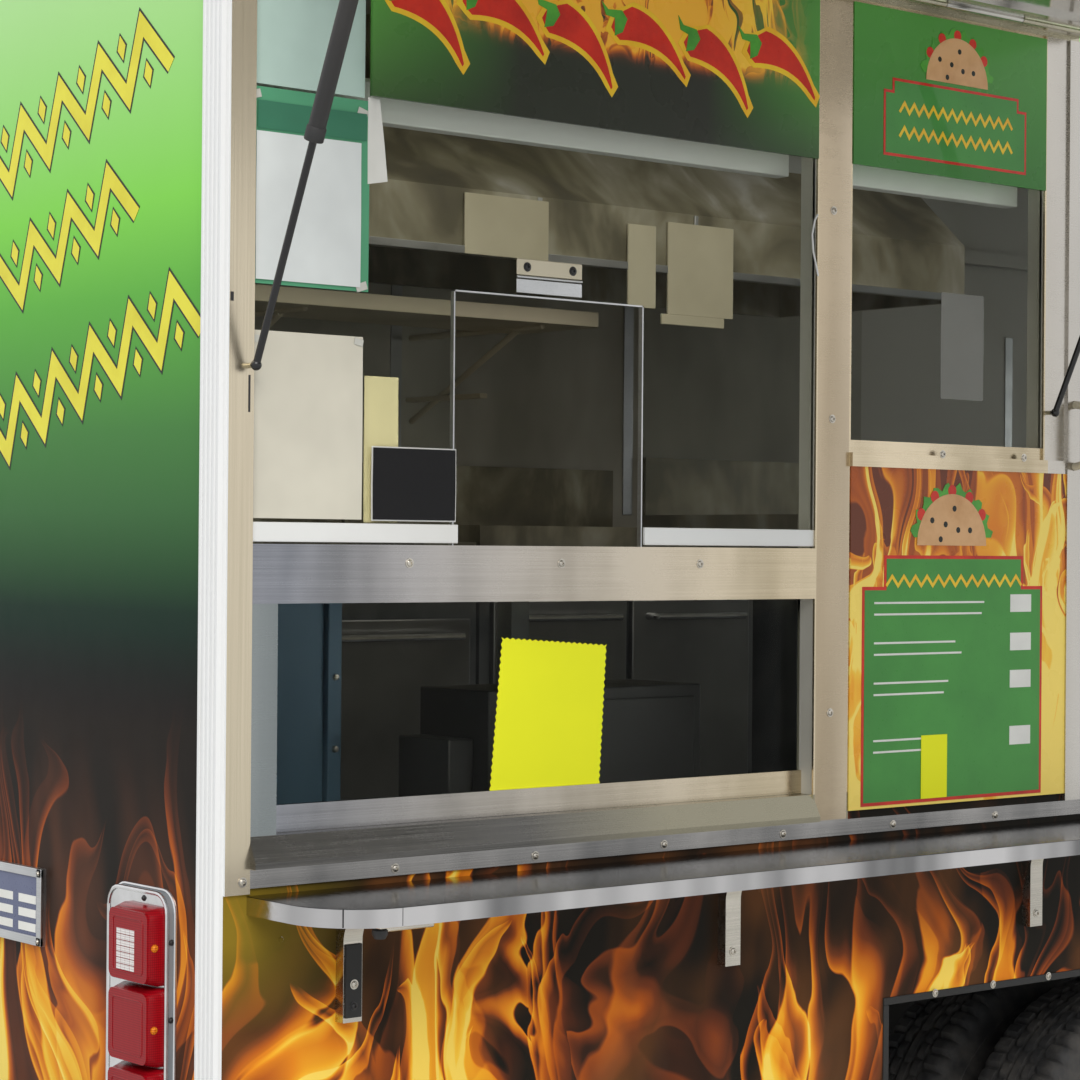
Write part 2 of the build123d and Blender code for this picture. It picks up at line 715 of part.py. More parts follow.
def hood_slab(margin, low, high):
    """The hood's outline, grown by a margin, between two depths under its outer surface."""
    s0, s1 = 10 - margin, HOOD_LONG - HOOD_END_GAP + margin
    corners = (hood_point(s0, low), hood_point(s1, low), hood_point(s1, high), hood_point(s0, high))
    return side_plate(corners, (-HOOD_HALF - margin, HOOD_HALF + margin))


def hood_hinge_half(spans, leaf_s):
    """One half of the hood's hinge: a barrel and its leaf on each side."""
    a, b = leaf_s
    corners = (hood_point(a, -HOOD_LEAF), hood_point(b, -HOOD_LEAF), hood_point(b, 0.5), hood_point(a, 0.5))
    pieces = []
    for side in (-1, 1):
        y = on_side(side, *spans)
        pieces.append(bar("Y", HOOD_BARREL_R, HOOD_HINGE, y))
        pieces.append(side_plate(corners, y))
    return pieces


def nose_outline():
    """Side outline of the nose."""
    return (
        (WALL_FRONT, SKIRT_BOTTOM),
        (FRONT_AXLE_X + 500, SKIRT_BOTTOM),
        (FRONT_AXLE_X + 550, NOSE_FLOOR_Z),
        (NOSE_FRONT, NOSE_FLOOR_Z),
        (NOSE_FRONT, HOOD_LOW_Z - 70),
        (HOOD_LOW_X, HOOD_LOW_Z),
        (COWL_X, COWL_Z),
        (WALL_FRONT, COWL_Z),
    )


def nose_inside():
    """Side outline of the hollow in the nose."""
    skin = NOSE_SKIN
    return (
        (WALL_FRONT - PAST, SKIRT_BOTTOM - 10),
        (NOSE_FRONT - skin, SKIRT_BOTTOM - 10),
        (NOSE_FRONT - skin, HOOD_LOW_Z - 82),
        (HOOD_LOW_X - skin, HOOD_LOW_Z - 22),
        (COWL_X - 12, COWL_Z - skin),
        (FIREWALL_X + FIREWALL_THICK, COWL_Z - skin),
        (FIREWALL_X + FIREWALL_THICK, COWL_Z + PAST),
        (WALL_FRONT - PAST, COWL_Z + PAST),
    )


def front_arches(shape):
    """Cuts the round front wheel arches through the nose's sides."""
    for side in (-1, 1):
        shape = shape - bar("Y", FRONT_ARCH_R, (FRONT_AXLE_X, TYRE_R), on_side(side, INNER - 60, HALF + 5))
    return shape


def nose_plan(inset, past):
    """The nose's plan, drawn in by an inset, over its whole height and a little past it."""
    face = cab_plan(NOSE_FRONT, SKIRT_BOTTOM - past, inset, NOSE_CORNER_R)
    return extrude(face, amount=COWL_Z - SKIRT_BOTTOM + 2 * past, dir=(0, 0, 1))


def nose():
    outer = nose_plan(0, 0) & side_plate(nose_outline(), (-HALF, HALF))
    inner = nose_plan(WALL, 20) & side_plate(nose_inside(), (-HALF, HALF))
    shell = front_arches(outer - inner)
    front_skin = (NOSE_FRONT - 2 * NOSE_SKIN, NOSE_FRONT + 5)
    for side in (-1, 1):
        shell = shell - bar("X", LAMP_R, (side * LAMP_Y, LAMP_Z), front_skin)
    shell = shell - block(front_skin, (-GRILLE_HALF, GRILLE_HALF), (GRILLE_LOW, GRILLE_HIGH))
    shell = shell - hood_slab(HOOD_GAP, -6, 45)
    return fused([shell] + hood_hinge_half(COWL_BARRELS, (HOOD_HINGE_S, HOOD_LONG - 2)))


def firewall():
    x = (FIREWALL_X, FIREWALL_X + FIREWALL_THICK)
    upper = block(x, (-INNER, INNER), (WELL_TOP, COWL_Z))
    lower = block(x, (-WHEEL_BOX_INNER, WHEEL_BOX_INNER), (FLOOR_BOTTOM, WELL_TOP))
    tunnel_half = COVER_HALF - COVER_SKIN + 10
    tunnel_z = (FLOOR_BOTTOM - PAST, COVER_TOP - COVER_SKIN + 10)
    return fused([upper, lower]) - block((x[0] - PAST, x[1] + PAST), (-tunnel_half, tunnel_half), tunnel_z)


def front_wheel_wells():
    wells = []
    rear = WALL_FRONT + 2
    for side in (-1, 1):
        outer = block((rear, WELL_FRONT), on_side(side, WHEEL_BOX_INNER, INNER), (RAIL_BOTTOM, WELL_TOP))
        inner_y = on_side(side, WHEEL_BOX_INNER + WELL_SKIN, INNER + PAST)
        inner = block((rear + WELL_SKIN, WELL_FRONT - WELL_SKIN), inner_y, (RAIL_BOTTOM - PAST, WELL_TOP - WELL_SKIN))
        wells.append(front_arches(outer - inner) & nose_plan(WALL, 20))
    return Compound(children=wells)


def hood():
    lid = hood_slab(0, 0, HOOD_THICK) - hood_slab(-40, 10, HOOD_THICK + PAST)
    return fused([lid] + hood_hinge_half(HOOD_BARRELS, (HOOD_HINGE_S - 36, HOOD_HINGE_S)))


def grille():
    x = (NOSE_FRONT - 28, NOSE_FRONT + 4)
    rim = block(x, (-GRILLE_HALF, GRILLE_HALF), (GRILLE_LOW, GRILLE_HIGH))
    half, low, high = GRILLE_HALF - GRILLE_RIM, GRILLE_LOW + GRILLE_RIM, GRILLE_HIGH - GRILLE_RIM
    rim = rim - block((x[0] - PAST, x[1] + PAST), (-half, half), (low, high))
    count = int((high - low) // SLAT_PITCH)
    first = (low + high - (count - 1) * SLAT_PITCH) / 2
    slats = []
    for i in range(count):
        z = first + i * SLAT_PITCH
        slats.append(block((x[0] + 4, x[1] - 6), (-half - 12, half + 12), (z - SLAT_HALF, z + SLAT_HALF)))
    posts = [block((x[0], x[0] + 12), (y - 8, y + 8), (low - 12, high + 12)) for y in (-half / 3, half / 3)]
    return fused([rim] + slats + posts)


def headlamps():
    lamps = []
    for side in (-1, 1):
        centre = (side * LAMP_Y, LAMP_Z)
        bowl = bar("X", LAMP_R - 1, centre, (NOSE_FRONT - 50, NOSE_FRONT + 4))
        ring = bar("X", LAMP_R + 10, centre, (NOSE_FRONT, NOSE_FRONT + 12))
        ring = ring - bar("X", LAMP_R - 12, centre, (NOSE_FRONT + 4, NOSE_FRONT + 13))
        lamps.append(fused([bowl, ring]))
    return Compound(children=lamps)


def roof():
    plan = make_face(front_rounded(0, CAB_TOP_X, HALF, CAB_CORNER_R, WALL_TOP))
    cap = extrude(plan, amount=ROOF_TOP - WALL_TOP, dir=(0, 0, 1))
    cap = fillet(cap.edges().group_by(Axis.Z)[-1], ROOF_EDGE_R)
    inside_z = (WALL_TOP - PAST, ROOF_TOP - ROOF_SKIN)
    front = CAB_TOP_X - CAB_CORNER_R
    nose_half = INNER - 160
    cap = cap - block((WALL, front), (-INNER, INNER), inside_z)
    return cap - block((front - PAST, CAB_TOP_X - WALL - 20), (-nose_half, nose_half), inside_z)


RIDGES = 5
RIDGE_STRIP = 56
RIDGE_OUT = 12


def corner_trims():
    """Ridged mouldings on the rear corners and the flat strip beside the window."""
    pitch = RIDGE_STRIP / RIDGES
    valley = RIDGE_OUT / 2
    points = [(0, -HALF)]
    for i in range(RIDGES):
        y = -HALF + i * pitch
        points += [(-valley, y + 0.5), (-RIDGE_OUT, y + pitch * 0.3)]
        points += [(-RIDGE_OUT, y + pitch * 0.7), (-valley, y + pitch - 0.5)]
    points.append((0, -HALF + RIDGE_STRIP))
    outline = Wire.make_polygon([(px, py, REAR_WALL_BOTTOM) for px, py in points])
    ridged = Part() + Solid.extrude(Face(outline), Vector(0, 0, WALL_TOP - REAR_WALL_BOTTOM))
    strip = block((0, STILE), (-HALF - TRIM, -HALF), (SILL_BOTTOM - 8, RAIL_LINE))
    return Compound(children=[ridged, left_of(ridged), strip])


# Places on the rear wall, measured inward from the truck's side
LAMP_BEZEL = (125, 291)
LAMP_BEZEL_TOP = 1120
LAMP_BEZEL_TALL = 400
BEZEL_OUT = 14
BEZEL_R = 30
LENS_SPAN = (132, 239)
LENSES = 3
LENS_PITCH = 118
LENS_TALL = 103
LENS_TOP = 1094
LENS_OUT = 44
LENS_R = 12
PLATE_INBOARD = (505, 815)
PLATE_Z = (998, 1119)
PLATE_THICK = 6


def on_rear(inboard):
    """The Y span of a piece on the rear wall."""
    return (-HALF + inboard[0], -HALF + inboard[1])


def tail_lamp_bezels():
    plate = block((-BEZEL_OUT, 0), on_rear(LAMP_BEZEL), (LAMP_BEZEL_TOP - LAMP_BEZEL_TALL, LAMP_BEZEL_TOP))
    plate = fillet(plate.edges().filter_by(Axis.X), BEZEL_R)
    return Compound(children=[plate, left_of(plate)])


def tail_lamp_lenses():
    lenses = []
    for i in range(LENSES):
        top = LENS_TOP - i * LENS_PITCH
        lens = block((-LENS_OUT, -BEZEL_OUT), on_rear(LENS_SPAN), (top - LENS_TALL, top))
        lens = fillet(lens.edges().filter_by(Axis.X), LENS_R)
        lenses += [lens, left_of(lens)]
    return Compound(children=lenses)


def plate_holder():
    return block((-PLATE_THICK, 0), on_rear(PLATE_INBOARD), PLATE_Z)


def window_frame():
    """Stainless frame of both window bays, its posts, bands and sills, and the plain panel ahead of them."""
    face = (-HALF - TRIM, -HALF)
    inside = (-HALF, -INNER)
    deep = (-HALF - TRIM, -INNER)
    bay1 = (STILE, BAY1_FRONT)
    bay2 = (BAY2_REAR, BAY2_FRONT)
    strip_top = SILL_BOTTOM + FACE_STRIP
    pieces = [
        block(bay1, deep, (LOWER_GLASS_TOP, BAND_TOP)),
        block((BAY1_FRONT - COVER_LAP, BAY2_REAR + COVER_LAP), face, (strip_top, RAIL_LINE)),
        block((BAY2_FRONT - COVER_LAP, POST2_FRONT), face, (BAY2_SILL, RAIL_LINE)),
        block(bay1, inside, (SILL_BOTTOM, SILL_TOP)),
        block(bay1, (-HALF + LOWER_GLASS_RECESS - GLASS, -INNER), (SILL_TOP, SASH_TOP)),
        block((STILE, STILE + LOWER_STILE), inside, (SILL_TOP, LOWER_GLASS_TOP)),
        block(bay1, inside, (SIGN_TOP, RAIL_LINE)),
        block(bay2, inside, (BAY2_SILL, BAY2_GLASS)),
        block(bay2, inside, (SIGN_TOP, RAIL_LINE)),
        block((BAY2_REAR, POST2_FRONT - 11), (-HALF - 12, -HALF), (BAY2_SILL, BAY2_SILL + 24)),
        block((POST2_FRONT, SIDE_PANEL_FRONT), (-HALF - SIDE_PANEL_OUT, -HALF), (strip_top, RAIL_LINE)),
        block((STILE, SHELF_FRONT), face, (SILL_BOTTOM, strip_top)),
    ]
    slope_low = SILL_TOP - 36
    out = -HALF - SILL_OUT
    sill = end_plate(((-HALF, SILL_TOP), (out, slope_low), (out, slope_low - 10), (-HALF, slope_low - 10)), bay1)
    return fused(pieces + [sill])


def window_glass():
    """Upper pane with its pass-through, recessed lower pane and second bay's pane."""
    pane_y = (-HALF + GLASS_RECESS, -HALF + GLASS_RECESS + GLASS)
    upper = block((STILE, BAY1_FRONT), pane_y, (BAND_TOP, SIGN_TOP))
    upper = upper - block((HATCH_REAR, HATCH_FRONT), (-HALF, -INNER), (BAND_TOP - PAST, HATCH_TOP))
    lower_x = (STILE + LOWER_STILE, BAY1_FRONT)
    lower = block(lower_x, (-HALF + LOWER_GLASS_RECESS, -INNER), (SASH_TOP, LOWER_GLASS_TOP))
    bay2 = block((BAY2_REAR, BAY2_FRONT), pane_y, (BAY2_GLASS, SIGN_TOP))
    return Compound(children=[upper, lower, bay2])


def sign_panels():
    """Two headers over the bays and the menu board under the second bay."""
    out = (-HALF - SIGN_THICK, -HALF)
    first = block((SIGN1_REAR, BAY1_FRONT - COVER_LAP), out, (SIGN_BOTTOM, SIGN_TOP))
    second = block((BAY2_REAR + COVER_LAP, BAY2_FRONT - COVER_LAP), out, (SIGN_BOTTOM, SIGN_TOP))
    menu = block((BAY2_REAR + COVER_LAP, POST2_FRONT), out, (MENU_BOTTOM, BAY2_SILL))
    return Compound(children=[first, second, menu])


def shelf():
    r = SHELF_CORNER_R
    k = r * (1 - math.sqrt(0.5))
    z = SHELF_BOTTOM
    out = -HALF - SHELF_OUT
    x0, x1 = SHELF_REAR, SHELF_FRONT
    edges = [
        Line((x0, -HALF, z), (x0, out + r, z)),
        ThreePointArc((x0, out + r, z), (x0 + k, out + k, z), (x0 + r, out, z)),
        Line((x0 + r, out, z), (x1 - r, out, z)),
        ThreePointArc((x1 - r, out, z), (x1 - k, out + k, z), (x1, out + r, z)),
        Line((x1, out + r, z), (x1, -HALF, z)),
        Line((x1, -HALF, z), (x0, -HALF, z)),
    ]
    return extrude(make_face(edges), amount=SHELF_THICK, dir=(0, 0, 1))


# X and lower end of each shelf bracket
BRACKETS = ((214, 931), (985, 941), (1755, 941), (2240, 941))
BRACKET_WIDE = 34
BRACKET_DEEP = 19
BRACKET_BEND = 45
BRACKET_REACH = 190
BRACKET_LEAF = 6


def shelf_brackets():
    """Straps that stand off the skirt and bend outward under the shelf."""
    straps = []
    for x, low in BRACKETS:
        root = -HALF
        face = root - BRACKET_DEEP
        bend = face - BRACKET_BEND
        leaf = SHELF_BOTTOM - BRACKET_LEAF
        k = BRACKET_BEND * math.sqrt(0.5)
        x0 = x - BRACKET_WIDE / 2
        corners = [(root, leaf + BRACKET_LEAF), (root, low), (face, low), (face, leaf - BRACKET_BEND)]
        outer = [(bend, leaf), (root - BRACKET_REACH, leaf), (root - BRACKET_REACH, SHELF_BOTTOM), corners[0]]
        edges = [Line((x0, *a), (x0, *b)) for a, b in zip(corners, corners[1:])]
        middle = (x0, bend + k, leaf - BRACKET_BEND + k)
        edges.append(ThreePointArc((x0, *corners[-1]), middle, (x0, *outer[0])))
        edges += [Line((x0, *a), (x0, *b)) for a, b in zip(outer, outer[1:])]
        straps.append(extrude(make_face(edges), amount=BRACKET_WIDE, dir=(1, 0, 0)))
    return Compound(children=straps)


HINGE_Y = -HALF - HINGE_OUT
RAIL_PLATE_TALL = 90
PANEL_IN = HINGE_Y - 2
PANEL_OUT = PANEL_IN - CANOPY_THICK
FOOT = (-HALF - STRUT_FOOT_OUT, STRUT_FOOT_Z)


def knuckle_spans(first):
    """Every second knuckle span of the canopy's hinge, starting from the first or the next."""
    pitch = (CANOPY_FRONT - CANOPY_REAR) / KNUCKLES
    return [
        (CANOPY_REAR + i * pitch + KNUCKLE_GAP / 2, CANOPY_REAR + (i + 1) * pitch - KNUCKLE_GAP / 2)
        for i in range(first, KNUCKLES, 2)
    ]


def canopy_rail():
    """The rail over the window with its half of the hinge, and the studs at the struts' feet."""
    long = (CANOPY_REAR, CANOPY_FRONT)
    plate = block((0, CANOPY_FRONT + 8), (-HALF - TRIM, -HALF), (RAIL_LINE, RAIL_LINE + RAIL_PLATE_TALL))
    gutter = block(long, (HINGE_Y + HINGE_R + 6, -HALF), (HINGE_Z + 12, HINGE_Z + 18))
    lip = block(long, (HINGE_Y + HINGE_R + 5, -HALF), (HINGE_Z - HINGE_LEAF / 2, HINGE_Z))
    knuckles = []
    for span in knuckle_spans(0):
        knuckles.append(bar("X", HINGE_R, (HINGE_Y, HINGE_Z), span))
        leaf_z = (HINGE_Z - HINGE_LEAF / 2, HINGE_Z + HINGE_LEAF / 2)
        knuckles.append(block(span, (HINGE_Y, -HALF - TRIM), leaf_z))
    stud_y = (FOOT[0] + SOCKET_R + FOOT_GAP, -HALF - TRIM)
    studs = [bar("Y", STRUT_PIN_R, (x, STRUT_FOOT_Z), stud_y) for x, _ in STRUTS]
    return Compound(children=[fused([plate, gutter, lip] + knuckles)] + studs)


def opened(shape):
    """Turns a piece drawn with the canopy shut up to the open canopy."""
    return shape.rotate(Axis((0, HINGE_Y, HINGE_Z), (1, 0, 0)), -CANOPY_OPEN)


def canopy():
    """A shallow steel tray with three fields inside, its half of the hinge and the struts' upper pins."""
    top = HINGE_Z - CANOPY_START
    bottom = HINGE_Z - CANOPY_LONG
    panel = block((CANOPY_REAR, CANOPY_FRONT), (PANEL_OUT, PANEL_IN), (bottom, top))
    pitch = (CANOPY_FRONT - CANOPY_REAR - CANOPY_RIM) / CANOPY_FIELDS
    for i in range(CANOPY_FIELDS):
        x0 = CANOPY_REAR + CANOPY_RIM + i * pitch
        field_x = (x0, x0 + pitch - CANOPY_RIM)
        field_y = (PANEL_IN - CANOPY_FIELD_DEEP, PANEL_IN + PAST)
        panel = panel - block(field_x, field_y, (bottom + CANOPY_RIM, top - CANOPY_RIM))
    pieces = [panel]
    for span in knuckle_spans(1):
        pieces.append(bar("X", HINGE_R, (HINGE_Y, HINGE_Z), span))
        pieces.append(block(span, (PANEL_IN - HINGE_LEAF, PANEL_IN), (top - PAST, HINGE_Z)))
    pin_y, pin_z = PANEL_IN + STRUT_PIN_OFF, HINGE_Z - STRUT_PIN_ALONG
    for x, ear_side in STRUTS:
        near, far = x + ear_side * EAR_REACH, x + ear_side * (EAR_REACH + EAR_THICK)
        ear_x = (min(near, far), max(near, far))
        pin_x = (min(x - ear_side * 8, far), max(x - ear_side * 8, far))
        pieces.append(block(ear_x, (PANEL_IN - CANOPY_FIELD_DEEP, pin_y + 8), (pin_z - 14, pin_z + 14)))
        pieces.append(bar("X", STRUT_PIN_R, (pin_y, pin_z), pin_x))
    return opened(fused(pieces))


def open_pin():
    """Where the strut's upper pin is with the canopy open, as (y, z)."""
    turn = math.radians(CANOPY_OPEN)
    dy, dz = PANEL_IN + STRUT_PIN_OFF - HINGE_Y, -STRUT_PIN_ALONG
    return (
        HINGE_Y + dy * math.cos(turn) + dz * math.sin(turn),
        HINGE_Z - dy * math.sin(turn) + dz * math.cos(turn),
    )


PIN = open_pin()
STRUT_OPEN_LONG = math.hypot(PIN[0] - FOOT[0], PIN[1] - FOOT[1])


def on_strut(x):
    """A plane at the upper pin of one strut, its Z axis running down the strut."""
    down = Vector(0, FOOT[0] - PIN[0], FOOT[1] - PIN[1]).normalized()
    return Plane(origin=(x, PIN[0], PIN[1]), x_dir=(1, 0, 0), z_dir=down)


def strut_barrels():
    barrels = []
    for x, ear_side in STRUTS:
        plane = on_strut(x)
        span = (x - EYE_WIDE / 2, x + EYE_WIDE / 2)
        ring = bar("X", EYE_R, PIN, span)
        bore = bar("X", STRUT_PIN_R + PIN_GAP, PIN, (span[0] - BARREL_R, span[1] + BARREL_R))
        start = EYE_R + 8
        tube = plane * (Pos(0, 0, (start + BARREL_LONG) / 2) * Cylinder(BARREL_R, BARREL_LONG - start))
        neck = plane * (Pos(0, 0, (EYE_R + start) / 2) * Cylinder(EYE_WIDE / 2, start - EYE_R + 8))
        deep = BARREL_LONG + PAST - ROD_START
        inside = plane * (Pos(0, 0, ROD_START + deep / 2) * Cylinder(ROD_R + ROD_GAP, deep))
        barrels.append(fused([tube, neck, ring]) - inside - bore)
    return Compound(children=barrels)


def strut_rods():
    rods = []
    for x, ear_side in STRUTS:
        rod = on_strut(x) * (Pos(0, 0, STRUT_OPEN_LONG - ROD_LONG / 2) * Cylinder(ROD_R, ROD_LONG))
        socket = Pos(x, *FOOT) * Sphere(SOCKET_R)
        rods.append(fused([rod, socket]))
    return Compound(children=rods)


COUNTER_DEPTH = 440
COUNTER_FRONT = 1790
COUNTER_THICK = 30
COUNTER_LEG = 40
CABINET_FRONT = 1340


def service_counter():
    """Counter inside the window, with a lower deck behind the lower glass and a cabinet under it."""
    back = -INNER + COUNTER_DEPTH
    x = (WALL + 12, COUNTER_FRONT)
    y = (-INNER + 4, back)
    deck_z, top_z = SILL_BOTTOM + 20, LOWER_GLASS_TOP + 20
    top = block(x, y, (top_z, top_z + COUNTER_THICK))
    deck = block(x, y, (deck_z, deck_z + COUNTER_THICK))
    leg_x = (x[0], mid(x) - COUNTER_LEG, x[1] - COUNTER_LEG)
    legs = [block((px, px + COUNTER_LEG), (back - COUNTER_LEG, back), (WHEEL_BOX_TOP, top_z)) for px in leg_x]
    cabinet = block((x[0], CABINET_FRONT), y, (FLOOR_TOP, deck_z))
    return fused([top, deck, cabinet] + legs)


def cook_line():
    """A row of closed appliances, each with a splash back. Two stand on the left wheel box."""
    back = INNER - COOK_BACK_GAP
    pieces = []
    for rear, front, top in COOK_ROWS:
        over_wheels = ARCH_REAR - 50 < front and rear < ARCH_FRONT + 50
        foot = WHEEL_BOX_TOP if over_wheels else FLOOR_TOP
        face = WHEEL_BOX_INNER - 40 if over_wheels else INNER - COOK_DEPTH
        body = block((rear, front), (face, back), (foot, top))
        splash = block((rear, front), (back - 24, back), (top, top + 160))
        pieces.append(fused([body, splash]))
    return Compound(children=pieces)


def exhaust_hood():
    """A hood over the cook line, open below, with a duct to the roof."""
    back = INNER - COOK_BACK_GAP
    lip, brow = INNER - 710, INNER - 440
    outline = ((back, VENT_LOW), (back, VENT_HIGH), (brow, VENT_HIGH), (lip, VENT_LOW + 150), (lip, VENT_LOW))
    skin = VENT_SKIN
    inside = (
        (back - skin, VENT_LOW - PAST),
        (back - skin, VENT_HIGH - skin),
        (brow + skin / 2, VENT_HIGH - skin),
        (lip + skin, VENT_LOW + 140),
        (lip + skin, VENT_LOW - PAST),
    )
    shell = end_plate(outline, HOOD_SPAN) - end_plate(inside, (HOOD_SPAN[0] + skin, HOOD_SPAN[1] - skin))
    duct_z = (VENT_HIGH, ROOF_TOP - ROOF_SKIN)
    duct = block((FAN_X - 200, FAN_X + 200), (FAN_Y - 160, FAN_Y + 160), duct_z)
    return fused([shell, duct])


FAN_BASE_TALL = 90
FAN_DRUM_TALL = 140
FAN_CAP_TALL = 60


def roof_fan():
    drum_z = ROOF_TOP + FAN_BASE_TALL
    cap_z = drum_z + FAN_DRUM_TALL
    base = block((FAN_X - 210, FAN_X + 210), (FAN_Y - 180, FAN_Y + 180), (ROOF_TOP, drum_z))
    drum = bar("Z", 190, (FAN_X, FAN_Y), (drum_z, cap_z))
    cap = bar("Z", 235, (FAN_X, FAN_Y), (cap_z, cap_z + FAN_CAP_TALL))
    return fused([base, drum, cap])


SEAT_TOP = 1240
SEAT_THICK = 120
SEAT_HALF = 205
SEAT_R = 30


def driver_seat():
    front = WHEEL_POINT[0] - 180
    rear = front - 470
    y = (DRIVER_Y - SEAT_HALF, DRIVER_Y + SEAT_HALF)
    base = SEAT_TOP - SEAT_THICK
    pedestal = block((rear + 70, front - 100), (DRIVER_Y - 125, DRIVER_Y + 125), (FLOOR_TOP, base))
    cushion = fillet(block((rear, front), y, (base, SEAT_TOP)).edges(), SEAT_R)
    back = fillet(block((rear - 50, rear + 60), y, (SEAT_TOP - 5, SEAT_TOP + 590)).edges(), SEAT_R)
    return fused([pedestal, cushion, back])


def steering_plane():
    """A plane at the steering wheel's middle, its Z axis up along the column to the driver."""
    lean = math.radians(WHEEL_TILT)
    return Plane(origin=WHEEL_POINT, x_dir=(0, 1, 0), z_dir=(-math.sin(lean), 0, math.cos(lean)))


def dashboard():
    """The dashboard with the steering column, and the engine's cover under it."""
    half = INNER - 40
    top = COWL_Z - 30
    outline = ((DASH_REAR, 1250), (FIREWALL_X, 1180), (FIREWALL_X, top), (DASH_REAR + 70, top), (DASH_REAR, top - 40))
    dash = side_plate(outline, (-half, half))
    column = steering_plane() * (Pos(0, 0, -(COLUMN_LONG + WHEEL_HUB_TALL) / 2) * Cylinder(COLUMN_R, COLUMN_LONG))
    cover = block((COVER_REAR, FIREWALL_X), (-COVER_HALF, COVER_HALF), (FLOOR_TOP, COVER_TOP))
    inside = COVER_HALF - COVER_SKIN
    inside_z = (FLOOR_TOP - PAST, COVER_TOP - COVER_SKIN)
    cover = cover - block((COVER_REAR + COVER_SKIN, FIREWALL_X + PAST), (-inside, inside), inside_z)
    return Compound(children=[fused([dash, column]), cover])


def steering_wheel():
    ring = Torus(205, 14)
    hub = Cylinder(45, WHEEL_HUB_TALL)
    spokes = [Rot(0, 0, a) * (Pos(110, 0, 0) * Box(190, 34, 10)) for a in (90, 210, 330)]
    return steering_plane() * fused([ring, hub] + spokes)


MIRROR_X = QUARTER_REAR + 20
MIRROR_Z = 1950
MIRROR_HALF = 190
MIRROR_OUT = (60, 240)


def mirrors():
    x, z = MIRROR_X, MIRROR_Z
    head = block((x - 20, x + 20), (-HALF - MIRROR_OUT[1], -HALF - MIRROR_OUT[0]), (z - MIRROR_HALF, z + MIRROR_HALF))
    head = fillet(head.edges().filter_by(Axis.X), 30)
    pieces = [head]
    for arm_z in (z - 150, z + 150):
        pieces.append(bar("Y", 12, (x - 10, arm_z), (-HALF - MIRROR_OUT[0] - 20, -HALF)))
        pieces.append(block((x - 34, x + 14), (-HALF - 8, -HALF), (arm_z - 30, arm_z + 30)))
    right = fused(pieces)
    return Compound(children=[right, left_of(right)])


DOOR_X = (DOOR_REAR - DOOR_LAP, DOOR_FRONT + DOOR_LAP)
DOOR_GLASS_X = (DOOR_X[0] + DOOR_WINDOW_EDGE, DOOR_X[1] - DOOR_WINDOW_EDGE)
DOOR_GLASS_Z = (DOOR_WINDOW_LOW, DOOR_TOP - DOOR_WINDOW_EDGE)
HANGER_WIDE = 60
HANGER_THICK = 6


def sliding_door_right():
    """A sliding cab door, hung from its track by two hangers."""
    y = (-DOOR_OUTER, -DOOR_INNER)
    z = (DOOR_BOTTOM + 8, DOOR_TOP + DOOR_LAP)
    panel = block(DOOR_X, y, z) - block(DOOR_GLASS_X, (y[0] - PAST, y[1] + PAST), DOOR_GLASS_Z)
    hanger_out = y[1] + 3 + HANGER_THICK
    hangers = []
    for x in (DOOR_X[0] + 120, DOOR_X[1] - 180):
        span = (x, x + HANGER_WIDE)
        hangers.append(block(span, (y[1] + 3, hanger_out), (z[1] - 60, TRACK_HIGH + 12)))
        hangers.append(block(span, (y[1], hanger_out), (z[1] - 60, z[1] - 10)))
    return fused([panel] + hangers)


def sliding_glass_right():
    middle = -(DOOR_OUTER + DOOR_INNER) / 2
    return block(DOOR_GLASS_X, (middle - GLASS / 2, middle + GLASS / 2), DOOR_GLASS_Z)


REAR_DOOR_GAP = 6
REAR_HINGE = (-12, REAR_DOOR_LEFT)
REAR_HINGE_R = 9
# Heights of the rear door's hinges
REAR_HINGES = (1000, 1775, 2550)
HANDLE_Z = (1300, 1520)


def rear_door():
    """The rear door's leaf with its hinges and its bar handle."""
    g = REAR_DOOR_GAP
    leaf_y = (REAR_DOOR_RIGHT + g, REAR_DOOR_LEFT - g)
    pieces = [block((0, WALL - 4), leaf_y, (REAR_DOOR_BOTTOM + g, REAR_DOOR_TOP - g))]
    for z in REAR_HINGES:
        pieces.append(bar("Z", REAR_HINGE_R, REAR_HINGE, (z - 50, z + 50)))
        pieces.append(block((-8, 0), (REAR_DOOR_LEFT - 90, REAR_DOOR_LEFT), (z - 40, z + 40)))
    handle_y = (REAR_DOOR_RIGHT + 40, REAR_DOOR_RIGHT + 64)
    pieces.append(block((-46, -34), handle_y, HANDLE_Z))
    for z in (HANDLE_Z[0] + 10, HANDLE_Z[1] - 30):
        pieces.append(block((-40, 0), (handle_y[0] + 4, handle_y[1] - 4), (z, z + 20)))
    return fused(pieces)


